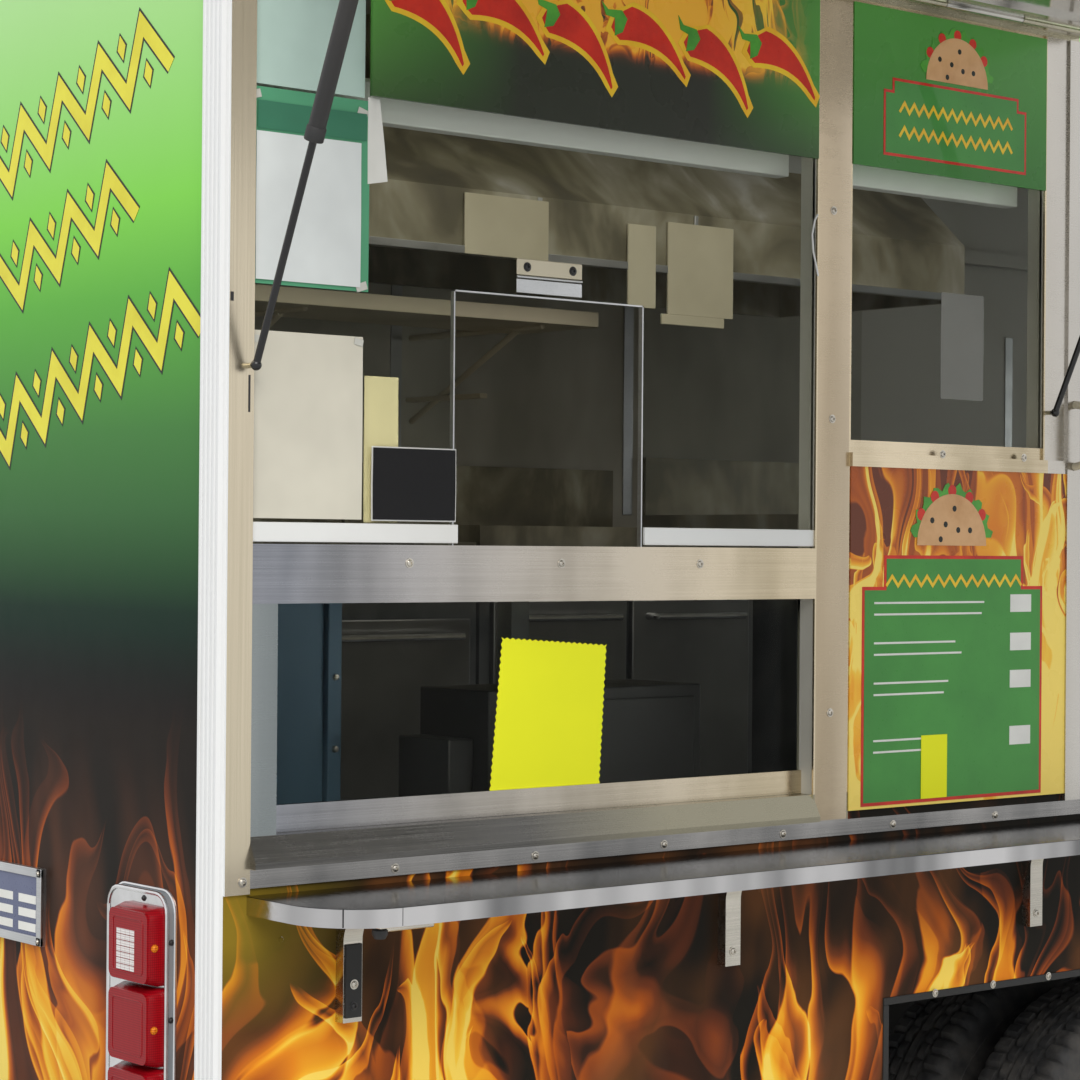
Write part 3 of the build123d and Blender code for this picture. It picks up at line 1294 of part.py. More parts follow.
def wheel_rim(centre_y, face_y, hub_span):
    """A pressed steel wheel: barrel, flanges, dished disc, hub and hand holes, on the right side."""
    inner_r = BEAD_R - RIM_WALL
    toward = 1 if face_y > centre_y else -1
    low, high = centre_y - RIM_HALF, centre_y + RIM_HALF
    edge = FLANGE_WIDE
    barrel = spun(
        (
            (inner_r, low - edge), (FLANGE_R, low - edge), (FLANGE_R, low), (BEAD_R, low),
            (BEAD_R, high), (FLANGE_R, high), (FLANGE_R, high + edge), (inner_r, high + edge),
        )
    )
    root_y = centre_y + toward * (RIM_HALF - 50)
    thick = toward * DISC_THICK
    disc = spun(
        (
            (inner_r + 2, root_y), (inner_r + 2, root_y + thick * 1.6), (118, face_y),
            (50, face_y), (50, face_y - thick), (112, face_y - thick),
        )
    )
    for i in range(HAND_HOLES):
        turn = 2 * math.pi * i / HAND_HOLES
        x, z = HAND_HOLE_RING * math.cos(turn), TYRE_R + HAND_HOLE_RING * math.sin(turn)
        disc = disc - Pos(x, (root_y + face_y) / 2, z) * Rot(90, 0, 0) * Cylinder(HAND_HOLE_R, 240)
    hub = bar("Y", 70, (0, TYRE_R), hub_span)
    return [barrel, disc, hub]


def tyre(centre_y):
    """A plain tyre, its tread cut in where it is dressed."""

    def at(r, half):
        return (r, centre_y + half, TYRE_R)

    inner = BEAD_R + BEAD_TALL
    edges = []
    for side in (-1, 1):
        bead, belly, shoulder = side * RIM_HALF, side * TYRE_HALF, side * SHOULDER_HALF
        edges.append(Line(at(BEAD_R, bead), at(inner, bead)))
        edges.append(ThreePointArc(at(inner, bead), at(BELLY_R, belly), at(SHOULDER_R, shoulder)))
        edges.append(Line(at(SHOULDER_R, shoulder), at(TYRE_R, side * TREAD_HALF)))
    edges.append(Line(at(TYRE_R, -TREAD_HALF), at(TYRE_R, TREAD_HALF)))
    edges.append(Line(at(BEAD_R, -RIM_HALF), at(BEAD_R, RIM_HALF)))
    return revolve(make_face(edges), Axis((0, 0, TYRE_R), (0, 1, 0)))


def rear_rims_right():
    """Both rims of the right twin, bolted face to face, with the hub between them."""
    hub_span = (-OUTER_TYRE_Y + 20, -INNER_TYRE_Y + 60)
    pieces = []
    for centre in (-OUTER_TYRE_Y, -INNER_TYRE_Y):
        pieces += wheel_rim(centre, -TWIN_FACE_Y, hub_span)
    pieces.append(bar("Y", 45, (0, TYRE_R), (-OUTER_TYRE_Y - 30, -OUTER_TYRE_Y + 30)))
    bore = bar("Y", SPINDLE_R + HUB_GAP, (0, TYRE_R), (-OUTER_TYRE_Y + 28, hub_span[1] + PAST))
    return Pos(REAR_AXLE_X, 0, 0) * (fused(pieces) - bore)


def front_rim_right():
    face = -FRONT_TYRE_Y - FRONT_FACE_OFFSET
    hub_span = (face - 30, -FRONT_TYRE_Y + 30)
    bore = bar("Y", FRONT_SPINDLE_R + HUB_GAP, (0, TYRE_R), (-FRONT_TYRE_Y - 72, hub_span[1] + PAST))
    return Pos(FRONT_AXLE_X, 0, 0) * (fused(wheel_rim(-FRONT_TYRE_Y, face, hub_span)) - bore)


def rear_tyres_right():
    return Compound(children=[Pos(REAR_AXLE_X, 0, 0) * tyre(y) for y in (-OUTER_TYRE_Y, -INNER_TYRE_Y)])


def front_tyre_right():
    return Pos(FRONT_AXLE_X, 0, 0) * tyre(-FRONT_TYRE_Y)


NODES = {
    "frame": chassis_frame,
    "engine": engine_block,
    "front_axle": front_axle_beam,
    "rear_axle": rear_axle_housing,
    "leaf_springs": leaf_springs,
    "fuel_tank": fuel_tank,
    "exhaust": exhaust_pipe,
    "hitch": hitch,
    "rear_bumper": rear_bumper,
    "front_bumper": front_bumper,
    "floor": floor,
    "floor_wells": floor_wells,
    "right_wall": lambda: side_wall(WINDOW_BAYS),
    "left_wall": lambda: left_of(side_wall(())),
    "rear_wall": rear_wall,
    "roof": roof,
    "nose": nose,
    "firewall": firewall,
    "front_wheel_wells": front_wheel_wells,
    "windscreen_frame": windscreen_frame,
    "cab_glass": cab_glass,
    "corner_trims": corner_trims,
    "grille": grille,
    "headlamps": headlamps,
    "mirrors": mirrors,
    "tail_lamp_bezels": tail_lamp_bezels,
    "tail_lamp_lenses": tail_lamp_lenses,
    "plate_holder": plate_holder,
    "rear_door": rear_door,
    "window_frame": window_frame,
    "window_glass": window_glass,
    "sign_panels": sign_panels,
    "shelf": shelf,
    "shelf_brackets": shelf_brackets,
    "canopy_rail": canopy_rail,
    "canopy": canopy,
    "strut_barrels": strut_barrels,
    "strut_rods": strut_rods,
    "service_counter": service_counter,
    "cook_line": cook_line,
    "exhaust_hood": exhaust_hood,
    "roof_fan": roof_fan,
    "driver_seat": driver_seat,
    "dashboard": dashboard,
    "steering_wheel": steering_wheel,
    "door_right": sliding_door_right,
    "door_left": lambda: left_of(sliding_door_right()),
    "door_glass_right": sliding_glass_right,
    "door_glass_left": lambda: left_of(sliding_glass_right()),
    "hood": hood,
    "knuckle_right": knuckle_right,
    "knuckle_left": lambda: left_of(knuckle_right()),
    "tyre_front_right": front_tyre_right,
    "tyre_front_left": lambda: left_of(front_tyre_right()),
    "rim_front_right": front_rim_right,
    "rim_front_left": lambda: left_of(front_rim_right()),
    "tyres_rear_right": rear_tyres_right,
    "tyres_rear_left": lambda: left_of(rear_tyres_right()),
    "rims_rear_right": rear_rims_right,
    "rims_rear_left": lambda: left_of(rear_rims_right()),
}

shapes = {name: make() for name, make in NODES.items()}
boxes = [shape.bounding_box() for shape in shapes.values()]
MIDDLE_X = (min(b.min.X for b in boxes) + max(b.max.X for b in boxes)) / 2
MIDDLE_Y = (min(b.min.Y for b in boxes) + max(b.max.Y for b in boxes)) / 2

os.makedirs("parts", exist_ok=True)
for name, shape in shapes.items():
    export_step(Pos(-MIDDLE_X, -MIDDLE_Y, 0) * shape, f"parts/{name}.step")
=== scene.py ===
"""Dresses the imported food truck: livery, steel, glass, lamps, tyres and what its solids leave out."""

import math
import random

import bmesh
import bpy
from mathutils import Matrix, Vector


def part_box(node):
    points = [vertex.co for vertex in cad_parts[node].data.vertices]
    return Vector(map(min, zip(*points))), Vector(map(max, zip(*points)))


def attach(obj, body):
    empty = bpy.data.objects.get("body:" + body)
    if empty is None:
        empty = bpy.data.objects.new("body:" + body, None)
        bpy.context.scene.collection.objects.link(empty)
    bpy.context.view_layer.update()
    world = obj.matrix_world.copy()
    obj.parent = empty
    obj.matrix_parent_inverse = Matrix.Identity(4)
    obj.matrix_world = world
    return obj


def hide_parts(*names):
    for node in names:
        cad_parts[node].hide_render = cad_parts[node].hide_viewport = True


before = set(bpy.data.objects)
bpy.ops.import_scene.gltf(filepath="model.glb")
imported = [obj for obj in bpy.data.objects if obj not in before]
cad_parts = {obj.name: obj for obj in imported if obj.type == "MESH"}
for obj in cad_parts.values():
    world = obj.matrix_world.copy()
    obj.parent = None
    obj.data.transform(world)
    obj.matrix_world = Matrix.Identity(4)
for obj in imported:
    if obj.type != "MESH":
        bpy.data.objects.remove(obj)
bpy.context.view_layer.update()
scene = bpy.context.scene


def middle(node, axis):
    """The middle of a node's box along one axis."""
    low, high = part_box(node)
    return (low[axis] + high[axis]) / 2


# Places taken from the frame, in metres
REAR_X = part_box("rear_wall")[0].x
SIDE_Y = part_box("right_wall")[0].y
LEFT_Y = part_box("left_wall")[1].y
MIDDLE_Y = (SIDE_Y + LEFT_Y) / 2
NOSE_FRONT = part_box("nose")[1].x
TYRE_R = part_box("tyre_front_right")[1].z / 2
SHELF_LOW, SHELF_HIGH = (corner.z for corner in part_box("shelf"))
PLATE_LOW, PLATE_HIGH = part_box("plate_holder")
SIGN_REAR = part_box("sign_panels")[0].x


def side(x, out, z):
    """A point by its distance ahead of the rear wall, out from the service side, and its height."""
    return Vector((REAR_X + x, SIDE_Y - out, z))


def rear(inboard, out, z):
    """A point by its distance in from the service side, behind the rear wall, and its height."""
    return Vector((REAR_X - out, SIDE_Y + inboard, z))


def at(x, y, z):
    """A point by its distance ahead of the rear wall, left of the middle, and its height."""
    return Vector((REAR_X + x, MIDDLE_Y + y, z))


# Camera, at the photograph's place: width and focal length in pixels, turns in degrees
PHOTO_WIDE, FOCAL = 1080, 2661
yaw, pitch, roll = (math.radians(turn) for turn in (39.708, 0.145, 0.46))
camera_data = bpy.data.cameras.new("camera")
camera = bpy.data.objects.new("camera", camera_data)
scene.collection.objects.link(camera)
scene.camera = camera
camera_data.sensor_width = 36
camera_data.lens = FOCAL / PHOTO_WIDE * camera_data.sensor_width
ahead = Vector((math.sin(yaw) * math.cos(pitch), math.cos(yaw) * math.cos(pitch), math.sin(pitch)))
level = Vector((math.cos(yaw), -math.sin(yaw), 0))
upright = level.cross(ahead)
across = math.cos(roll) * level + math.sin(roll) * upright
upward = -math.sin(roll) * level + math.cos(roll) * upright
pose = Matrix((across, upward, -ahead)).transposed().to_4x4()
pose.translation = side(-2.071, 3.192, 1.63)
camera.matrix_world = pose


# Shader graphs
class Value:
    """A node's output. Sums with it add Math nodes, or Vector Math nodes for vectors and colours."""

    def __init__(self, graph, socket):
        self.graph = graph
        self.socket = socket

    def math(self, operation, other=0.0):
        return self.graph.calc(operation, self, other)

    def __add__(self, other):
        return self.math("ADD", other)

    def __sub__(self, other):
        return self.math("SUBTRACT", other)

    def __rsub__(self, other):
        return self.graph.calc("SUBTRACT", other, self)

    def __mul__(self, other):
        return self.math("MULTIPLY", other)

    def __truediv__(self, other):
        return self.math("DIVIDE", other)

    def __pow__(self, other):
        return self.math("POWER", other)

    def __abs__(self):
        return self.math("ABSOLUTE")

    def __lt__(self, other):
        return self.math("LESS_THAN", other)

    def __gt__(self, other):
        return self.math("GREATER_THAN", other)

    def within(self, low, high):
        return (self > low) * (self < high)

    def split(self):
        made = self.graph.node("SeparateXYZ", {"Vector": self})
        return [Value(self.graph, socket) for socket in made.outputs]

    def noise(self, scale, detail=2.0, roughness=0.5, output="Fac"):
        inputs = {"Vector": self, "Scale": scale, "Detail": detail, "Roughness": roughness}
        return self.graph.value("TexNoise", output, inputs)

    def span(self, low, high, to_low=0.0, to_high=1.0, kind="LINEAR"):
        inputs = {"Value": self, "From Min": low, "From Max": high, "To Min": to_low, "To Max": to_high}
        return self.graph.value("MapRange", "Result", inputs, interpolation_type=kind)


class Graph:
    """The nodes of a material or of the world."""

    def __init__(self, owner):
        owner.use_nodes = True
        self.tree = owner.node_tree

    def put(self, socket, value):
        if isinstance(value, Value):
            self.tree.links.new(value.socket, socket)
        elif isinstance(value, tuple) and socket.type == "RGBA":
            socket.default_value = (*value, 1)
        else:
            socket.default_value = value

    def node(self, kind, inputs=(), **settings):
        made = self.tree.nodes.new("ShaderNode" + kind)
        for key, value in settings.items():
            setattr(made, key, value)
        for key, value in dict(inputs).items():
            self.put(made.inputs[key], value)
        return made

    def value(self, kind, output, inputs=(), **settings):
        return Value(self, self.node(kind, inputs, **settings).outputs[output])

    def calc(self, operation, a, b):
        kinds = {v.socket.type if isinstance(v, Value) else type(v) for v in (a, b)}
        kind = "VectorMath" if kinds & {"VECTOR", "RGBA", tuple} else "Math"
        output = "Value" if operation == "DOT_PRODUCT" else 0
        return self.value(kind, output, {0: a, 1: b}, operation=operation)

    def surface(self, **values):
        for key, value in values.items():
            self.put(self.tree.nodes["Principled BSDF"].inputs[key.replace("_", " ")], value)

    def place(self):
        return self.value("TexCoord", "Object")

    def join(self, x, y, z):
        return self.value("CombineXYZ", 0, {"X": x, "Y": y, "Z": z})

    def mix(self, factor, a, b, blend="MIX"):
        made = self.node("Mix", data_type="RGBA", blend_type=blend)
        colours = [s for s in made.inputs if s.type == "RGBA"]
        self.put(made.inputs["Factor"], factor)
        self.put(colours[0], a)
        self.put(colours[1], b)
        return Value(self, [s for s in made.outputs if s.type == "RGBA"][0])

    def ramp(self, factor, stops):
        made = self.node("ValToRGB", {"Fac": factor})
        band = made.color_ramp.elements
        while len(band) < len(stops):
            band.new(0.5)
        for element, (place, colour) in zip(band, stops):
            element.position = place
            element.color = (*colour, 1)
        return Value(self, made.outputs["Color"])

    def bump(self, height, strength, distance):
        return self.value("Bump", 0, {"Height": height, "Strength": strength, "Distance": distance})


MATERIALS = {}
GREY = (0.5, 0.5, 0.5)


def material(name):
    """The graph of a new material."""
    MATERIALS[name] = bpy.data.materials.new(name)
    return Graph(MATERIALS[name])


FLAME_STOPS = (
    (0.0, (0.013, 0.011, 0.008)),
    (0.12, (0.04, 0.017, 0.01)),
    (0.28, (0.17, 0.04, 0.014)),
    (0.45, (0.45, 0.095, 0.012)),
    (0.65, (0.78, 0.235, 0.014)),
    (0.82, (0.93, 0.42, 0.025)),
    (0.95, (0.97, 0.6, 0.06)),
    (1.0, (1.0, 0.76, 0.16)),
)
# Each row of tongues: column width, height and foot as shares of the pattern's size, and brightness
TONGUE_ROWS = (
    (0.62, 1.25, -0.85, 0.7), (0.42, 1.15, -0.5, 0.9), (0.33, 0.85, -0.12, 0.98), (0.4, 0.9, 0.12, 0.85),
    (0.27, 0.7, 0.3, 0.85), (0.36, 0.8, 0.48, 0.75), (0.2, 0.5, 0.66, 0.8),
)


def tongues(g, u, z, wide, tall, seed, foot):
    """One row of flame tongues: each column of the row has one, leaning and tapering to a curled tip."""
    v = u * (1 / wide) + seed
    column = v.math("FLOOR")
    chance = g.value("TexWhiteNoise", "Color", {"W": column + seed * 7.3}, noise_dimensions="1D")
    tall_chance, lean_chance, wide_chance = chance.split()
    up = (z - foot) / ((tall_chance * 0.85 + 0.3) * tall)
    bend = (up * 4.2 + lean_chance * 6.28).math("SINE")
    off = v - column - 0.5 - bend * 0.24 * (up + 0.35)
    half = (1.0 - up).math("MAXIMUM", 0.0) ** 0.7 * (wide_chance * 0.26 + 0.16)
    inside = 1.0 - abs(off) / half.math("MAXIMUM", 0.004)
    rim = inside.span(0.0, 0.14, kind="SMOOTHSTEP")
    fade = inside.span(0.14, 1.0, 1.0, 0.3)
    lit = (off * (lean_chance - 0.5).math("SIGN")).span(-0.2, 0.2, 0.25, 1.0)
    return rim * fade * (lit * half.span(0.012, 0.04))


def flames(g, u, z, size, foot):
    """The strength of a fire pattern over a flat (u, z) plane, rising from about its foot's height."""
    plane = g.join(u, 0.0, z)
    wide = (plane * (1.9 / size, 1, 1.3 / size)).noise(1.0, 1.0, 0.5, "Color")
    bent = plane + (wide - GREY) * (size * 0.8, 0, size * 1.3)
    fine = (bent * (5.2 / size, 1, 2.4 / size)).noise(1.0, 2.5, 0.5, "Color")
    bu, _, bz = (bent + (fine - GREY) * (size * 0.22, 0, size * 0.3)).split()
    fire = None
    for i, (w, t, f, power) in enumerate(TONGUE_ROWS):
        layer = tongues(g, bu, bz, w * size, t * size, 0.37 + i * 1.73, foot + f * size) * power
        fire = fire + layer - fire * layer * 0.85 if fire else layer
    broad = (plane * (1.6 / size, 1, 1.1 / size)).noise(1.0, 1.0, 0.5)
    return fire * broad.span(0.36, 0.54, 0.5, 1.0, "SMOOTHSTEP")


# Height above the road and colour of the livery's fade
LIVERY_FADE = (
    (1.38, (0.003, 0.006, 0.01)),
    (1.53, (0.01, 0.03, 0.019)),
    (1.68, (0.05, 0.15, 0.05)),
    (1.8, (0.07, 0.225, 0.06)),
    (2.0, (0.13, 0.45, 0.07)),
    (2.14, (0.235, 0.68, 0.095)),
    (2.45, (0.42, 0.76, 0.29)),
    (2.8, (0.62, 0.86, 0.54)),
)
FADE_LOW, FADE_HIGH = 1.2, 3.0
FLAME_SIZE = 0.74
SHEET_THICK = 0.0015
CAB_REAR = 3.75


def livery(name, kind):
    """The wrap over one kind of panel: a rear one, a side one, or one that faces outward anywhere."""
    g = material(name)
    spot = g.place()
    x, y, z = spot.split()
    stops = [((height - FADE_LOW) / (FADE_HIGH - FADE_LOW), colour) for height, colour in LIVERY_FADE]
    base = g.ramp(z.span(FADE_LOW, FADE_HIGH), stops)
    swirl = (spot * (1.0, 1.0, 0.6)).noise(1.7, 1.0, 0.5, "Color")
    smoke = ((spot + (swirl - GREY) * (0.5, 0.5, 0.8)) * (1.0, 1.0, 0.5)).noise(4.2, 2.5, 0.5)
    smoke = smoke.span(0.46, 0.7, kind="SMOOTHSTEP")
    if kind == "rear":
        height = z.span(1.42, 1.2, kind="SMOOTHSTEP")
        # Painted shade: on the rear wall the flames are weaker and dulled towards dark brown, more so higher
        # up.
        fire = flames(g, x - y, z, FLAME_SIZE, 0.58) * height * z.span(1.3, 0.7, 0.7, 1.0)
        glow = smoke * height * z.span(1.38, 1.12)
        hot = g.mix(glow, g.ramp(fire, FLAME_STOPS), (0.09, 0.03, 0.014), "SCREEN")
        hot = g.mix(z.span(0.7, 1.3, 0.04, 0.15), hot, (0.03, 0.02, 0.022))
    else:
        height = z.span(1.46, 1.16, kind="SMOOTHSTEP")
        fire = flames(g, x - y, z, FLAME_SIZE, 0.46).span(0.2, 1.0) * height * 0.98
        hot = g.mix(smoke * height, g.ramp(fire, FLAME_STOPS), (0.12, 0.04, 0.008), "SCREEN")
        corner = x.span(REAR_X + 0.26, REAR_X + 0.02) * z.span(0.93, 1.06)
        hot = g.mix(corner * 0.7, hot, (0.34, 0.23, 0.02))
    colour = g.mix(z.span(1.36, 1.5, 1.0, 0.0), base, hot)
    dust = (spot * (1.0, 1.0, 0.35)).noise(9.0, 6.0, 0.62)
    colour = g.mix(dust.span(0.5, 0.8) * z.span(0.85, 0.45, 0.02, 0.45), colour, (0.16, 0.13, 0.1))
    metal = 0.0
    if kind == "rear":
        inner = x > REAR_X + SHEET_THICK
        metal = x < REAR_X - SHEET_THICK
        colour = g.mix(metal, colour, (0.5, 0.49, 0.46))
    elif kind == "side":
        inner = abs(y - MIDDLE_Y) < LEFT_Y - MIDDLE_Y - SHEET_THICK
    else:
        body_middle = ((REAR_X + NOSE_FRONT) / 2, MIDDLE_Y, 1.7)
        inner = (spot - body_middle).math("DOT_PRODUCT", g.value("TexCoord", "Normal")) < 0.0
    run = (spot * (3.0, 3.0, 1.6)).noise(1.1, 3.0, 0.5)
    lining = g.mix(run.span(0.34, 0.66), (0.4, 0.385, 0.33), (0.62, 0.605, 0.54))
    lining = g.mix(x > REAR_X + CAB_REAR, lining, (0.62, 0.61, 0.57))
    g.surface(
        Base_Color=g.mix(inner, colour, lining), Roughness=spot.noise(26.0, 4.0).span(0.3, 0.7, 0.28, 0.4),
        Metallic=metal, Specular_IOR_Level=0.06, Normal=g.bump(spot.noise(2.2, 2.0), 0.12, 0.004),
    )


# Stretch of a brushed grain along each axis
GRAINS = {"x": (0.9, 260, 260), "y": (260, 0.9, 260), "z": (260, 260, 0.9)}


def grain(spot, axis):
    return (spot * GRAINS[axis]).noise(3.0, 4.0, 0.7)


def smudges(spot):
    return (spot * (1.0, 1.0, 1.6)).noise(17.0, 5.0, 0.65)


def steel(name, light, dark, rough, axis="x", scratch=0.5):
    """Brushed stainless steel with its grain along one axis, smudged and lightly scratched."""
    g = material(name)
    spot = g.place()
    streak = grain(spot, axis)
    tone = streak * scratch + spot.noise(3.5, 3.0, 0.6) * (1 - scratch)
    gloss = smudges(spot).span(0.35, 0.75, -0.05, 0.09) + streak.span(0.3, 0.7, rough - 0.04, rough + 0.06)
    colour = g.mix(tone.span(0.36, 0.64), dark, light)
    g.surface(Base_Color=colour, Metallic=1.0, Roughness=gloss, Normal=g.bump(streak, 0.06, 0.0006))


POSTS = ((1.1895, 1.267), (1.787, 2.5))
STILE_FRONT, SLOPE_TOP, SLOPE_FOOT, STILE_TOP = 0.09, 1.2115, 1.166, 1.545


def window_steel():
    """The service window's frame: grain along the sills and bands, upright grain on the posts, and painted
    reflections and shade in its colours.
    """
    g = material("window_steel")
    spot = g.place()
    x, _, z = spot.split()
    post = x.within(REAR_X + POSTS[0][0], REAR_X + POSTS[0][1]).math("MAXIMUM", 0.0)
    post = x.within(REAR_X + POSTS[1][0], REAR_X + POSTS[1][1]).math("MAXIMUM", post)
    along, standing = grain(spot, "x"), grain(spot, "z")
    # Painted reflection: the band runs from a dim blue-grey at the rear to a warm gold ahead, with broad light
    # and dark patches.
    warm_reflection = x.span(REAR_X + 0.1, REAR_X + 1.1)
    dim = g.mix(warm_reflection, (0.2, 0.21, 0.235), (0.44, 0.37, 0.25))
    bright = g.mix(warm_reflection, (0.36, 0.37, 0.41), (0.68, 0.58, 0.42))
    tone = ((spot * (1.0, 1.0, 0.3)).noise(5.0, 3.0, 0.55) * 0.7 + along * 0.3).span(0.38, 0.6)
    band = g.mix(tone, dim, bright)
    # Painted reflection on the posts: warm brownish with upright light and dark streaks, paler and more neutral
    # on the second post.
    sheen = standing * 0.12 + (spot * (7.0, 7.0, 0.9)).noise(1.6, 1.0, 0.4) * 0.88
    post_reflection = g.mix(sheen.span(0.34, 0.66), (0.4, 0.325, 0.225), (0.56, 0.465, 0.335))
    neutral = g.mix(sheen.span(0.3, 0.7), (0.5, 0.48, 0.445), (0.58, 0.56, 0.525))
    post_reflection = g.mix(x.span(REAR_X + 1.2, REAR_X + 1.9), post_reflection, neutral)
    # Painted shade: the sill's slope is dark, warmer and lighter ahead of about 0.85 m; the face strip below it
    # takes a plainer grey.
    slope = g.mix(along.span(0.3, 0.7), (0.085, 0.083, 0.08), (0.19, 0.185, 0.175))
    slope = g.mix(x.span(REAR_X + 0.55, REAR_X + 0.85), slope, (0.29, 0.27, 0.2))
    slope = g.mix(z < SLOPE_FOOT, slope, g.mix(tone, (0.2, 0.2, 0.2), (0.42, 0.41, 0.4)))
    colour = g.mix(z < SLOPE_TOP, band, slope)
    colour = g.mix(post * (z > SLOPE_FOOT), colour, post_reflection)
    # Painted reflection: the stile beside the lower glass is a bluish grey with upright light and dark streaks.
    stile = (x < REAR_X + STILE_FRONT) * z.within(SLOPE_TOP, STILE_TOP)
    colour = g.mix(stile, colour, g.mix(sheen.span(0.3, 0.7), (0.2, 0.225, 0.23), (0.33, 0.36, 0.365)))
    gloss = smudges(spot).span(0.35, 0.75, -0.04, 0.08) + along.span(0.3, 0.7, 0.2, 0.28)
    g.surface(Base_Color=colour, Metallic=1.0, Roughness=gloss, Normal=g.bump(standing, 0.02, 0.0003))


def shelf_steel():
    """Polished steel of the shelf: a flat top painted dim as a dark reflection, and a rim with painted light
    and dark reflections in soft patches.
    """
    g = material("shelf_steel")
    spot = g.place()
    x, y, z = spot.split()
    plan = g.join(x, y, 0.0)
    streak = (spot * (1.2, 90, 90)).noise(3.0, 3.0, 0.6)
    # Painted reflections: soft light and dark patches on the rim, a near-black top with a few paler patches.
    rim = g.mix(plan.noise(7.0, 2.0, 0.5).span(0.34, 0.62), (0.2, 0.2, 0.205), (0.62, 0.61, 0.62))
    flat = g.mix(streak.span(0.35, 0.65), (0.03, 0.031, 0.033), (0.085, 0.085, 0.085))
    flat = g.mix(plan.noise(3.2, 1.0, 0.4).span(0.5, 0.62) * 0.5, flat, (0.24, 0.225, 0.2))
    rough = (spot * (3, 3, 3)).noise(40.0, 5.0, 0.7).span(0.35, 0.75, 0.1, 0.24)
    colour = g.mix(z > SHELF_HIGH - 0.001, rim, flat)
    g.surface(Base_Color=colour, Metallic=1.0, Roughness=rough, Normal=g.bump(streak, 0.03, 0.0004))


def corner_trims():
    """White enamel on the rear corners' mouldings, brushed steel on the flat strip beside the window."""
    g = material("corner_trims")
    spot = g.place()
    x, y, _ = spot.split()
    flat = (x > REAR_X + 0.0003) * (y < SIDE_Y + 0.0003)
    streak = grain(spot, "z")
    strip = g.mix(streak.span(0.3, 0.68), (0.58, 0.51, 0.38), (0.68, 0.6, 0.46))
    drip = (spot * (40, 40, 1.2)).noise(2.0, 5.0, 0.7)
    white = g.mix(drip.span(0.56, 0.85) * 0.3, (0.8, 0.81, 0.815), (0.5, 0.48, 0.44))
    g.surface(
        Base_Color=g.mix(flat, white, strip), Metallic=flat, Roughness=flat.span(0.0, 1.0, 0.34, 0.27),
        Normal=g.bump(streak, 0.05, 0.0004),
    )


def coated(name, colour, rough, worn, fine=40.0, lift=0.15, metal=0.0, coat=0.0):
    """Paint, plastic or rubber with a fine grain, patchy wear and a little colour variation."""
    g = material(name)
    spot = g.place()
    patch = spot.noise(4.0, 4.0, 0.55)
    g.surface(
        Base_Color=g.mix(patch.span(0.48, 0.85, 0.0, 0.6), colour, worn), Metallic=metal, Coat_Weight=coat,
        Roughness=patch.span(0.35, 0.7, rough - 0.06, rough + 0.1),
        Normal=g.bump(spot.noise(fine * 14, 3.0, 0.6), lift, 0.0008),
    )


def clear_glass(name, tint, bend):
    """Sheet glass that lets the lamps through."""
    g = material(name)
    g.surface(Base_Color=tint, Roughness=0.0, IOR=bend, Transmission_Weight=1.0)
    solid = Value(g, g.tree.nodes["Principled BSDF"].outputs[0])
    through = g.value("BsdfTransparent", 0, {"Color": tint})
    shadow = g.value("LightPath", "Is Shadow Ray")
    both_kinds = g.value("MixShader", 0, {0: shadow, 1: solid, 2: through})
    g.put(g.tree.nodes["Material Output"].inputs["Surface"], both_kinds)


def lens(name, colour, deep):
    """A ribbed plastic lamp lens."""
    g = material(name)
    x, y, z = g.place().split()
    grid = abs(((y - x) * 900.0).math("SINE")) * abs((z * 900.0).math("SINE"))
    g.surface(
        Base_Color=g.mix(grid.span(0.0, 0.8), deep, colour), Roughness=0.2, Specular_IOR_Level=0.16,
        Coat_Weight=0.12, Coat_Roughness=0.05, Normal=g.bump(grid, 0.12, 0.0006),
    )


def kitchen_steel():
    """The kitchen's lining and appliances: smoked steel, darker low down as painted shade, with soft brown and
    olive blotches higher up as painted reflections.
    """
    g = material("kitchen_steel")
    spot = g.place()
    warp = (spot * (1.2, 1.2, 0.6)).noise(1.5, 2.0, 0.5, "Color")
    bent = spot + (warp - GREY) * (0.6, 0.6, 0.6)
    fleck = (bent * (7.0, 7.0, 5.0)).noise(1.6, 3.0, 0.5)
    tone = (bent * (3.4, 3.4, 1.7)).noise(1.2, 2.0, 0.5) * 0.62 + fleck * 0.38
    # Painted reflections: brown and olive blotches over the upper lining.
    stops = (
        (0.0, (0.11, 0.1, 0.075)), (0.35, (0.2, 0.18, 0.12)), (0.6, (0.36, 0.33, 0.23)),
        (0.8, (0.5, 0.47, 0.37)), (1.0, (0.74, 0.73, 0.69)),
    )
    # Painted shade: a darker grey low down, below about 1.45 m.
    low = g.mix(tone.span(0.35, 0.7), (0.04, 0.045, 0.05), (0.16, 0.17, 0.18))
    colour = g.mix(spot.split()[2].span(1.45, 1.75), low, g.ramp(tone.span(0.3, 0.7), stops))
    g.surface(Base_Color=colour, Metallic=0.25, Roughness=fleck.span(0.3, 0.7, 0.3, 0.45))


def chrome():
    g = material("chrome")
    spot = g.place()
    haze = spot.noise(9.0, 5.0, 0.6)
    g.surface(
        Base_Color=g.mix(haze.span(0.45, 0.75), (0.72, 0.72, 0.73), (0.5, 0.5, 0.5)), Metallic=1.0,
        Roughness=haze.span(0.35, 0.75, 0.05, 0.2), Normal=g.bump(spot.noise(240.0, 2.0), 0.03, 0.0005),
    )


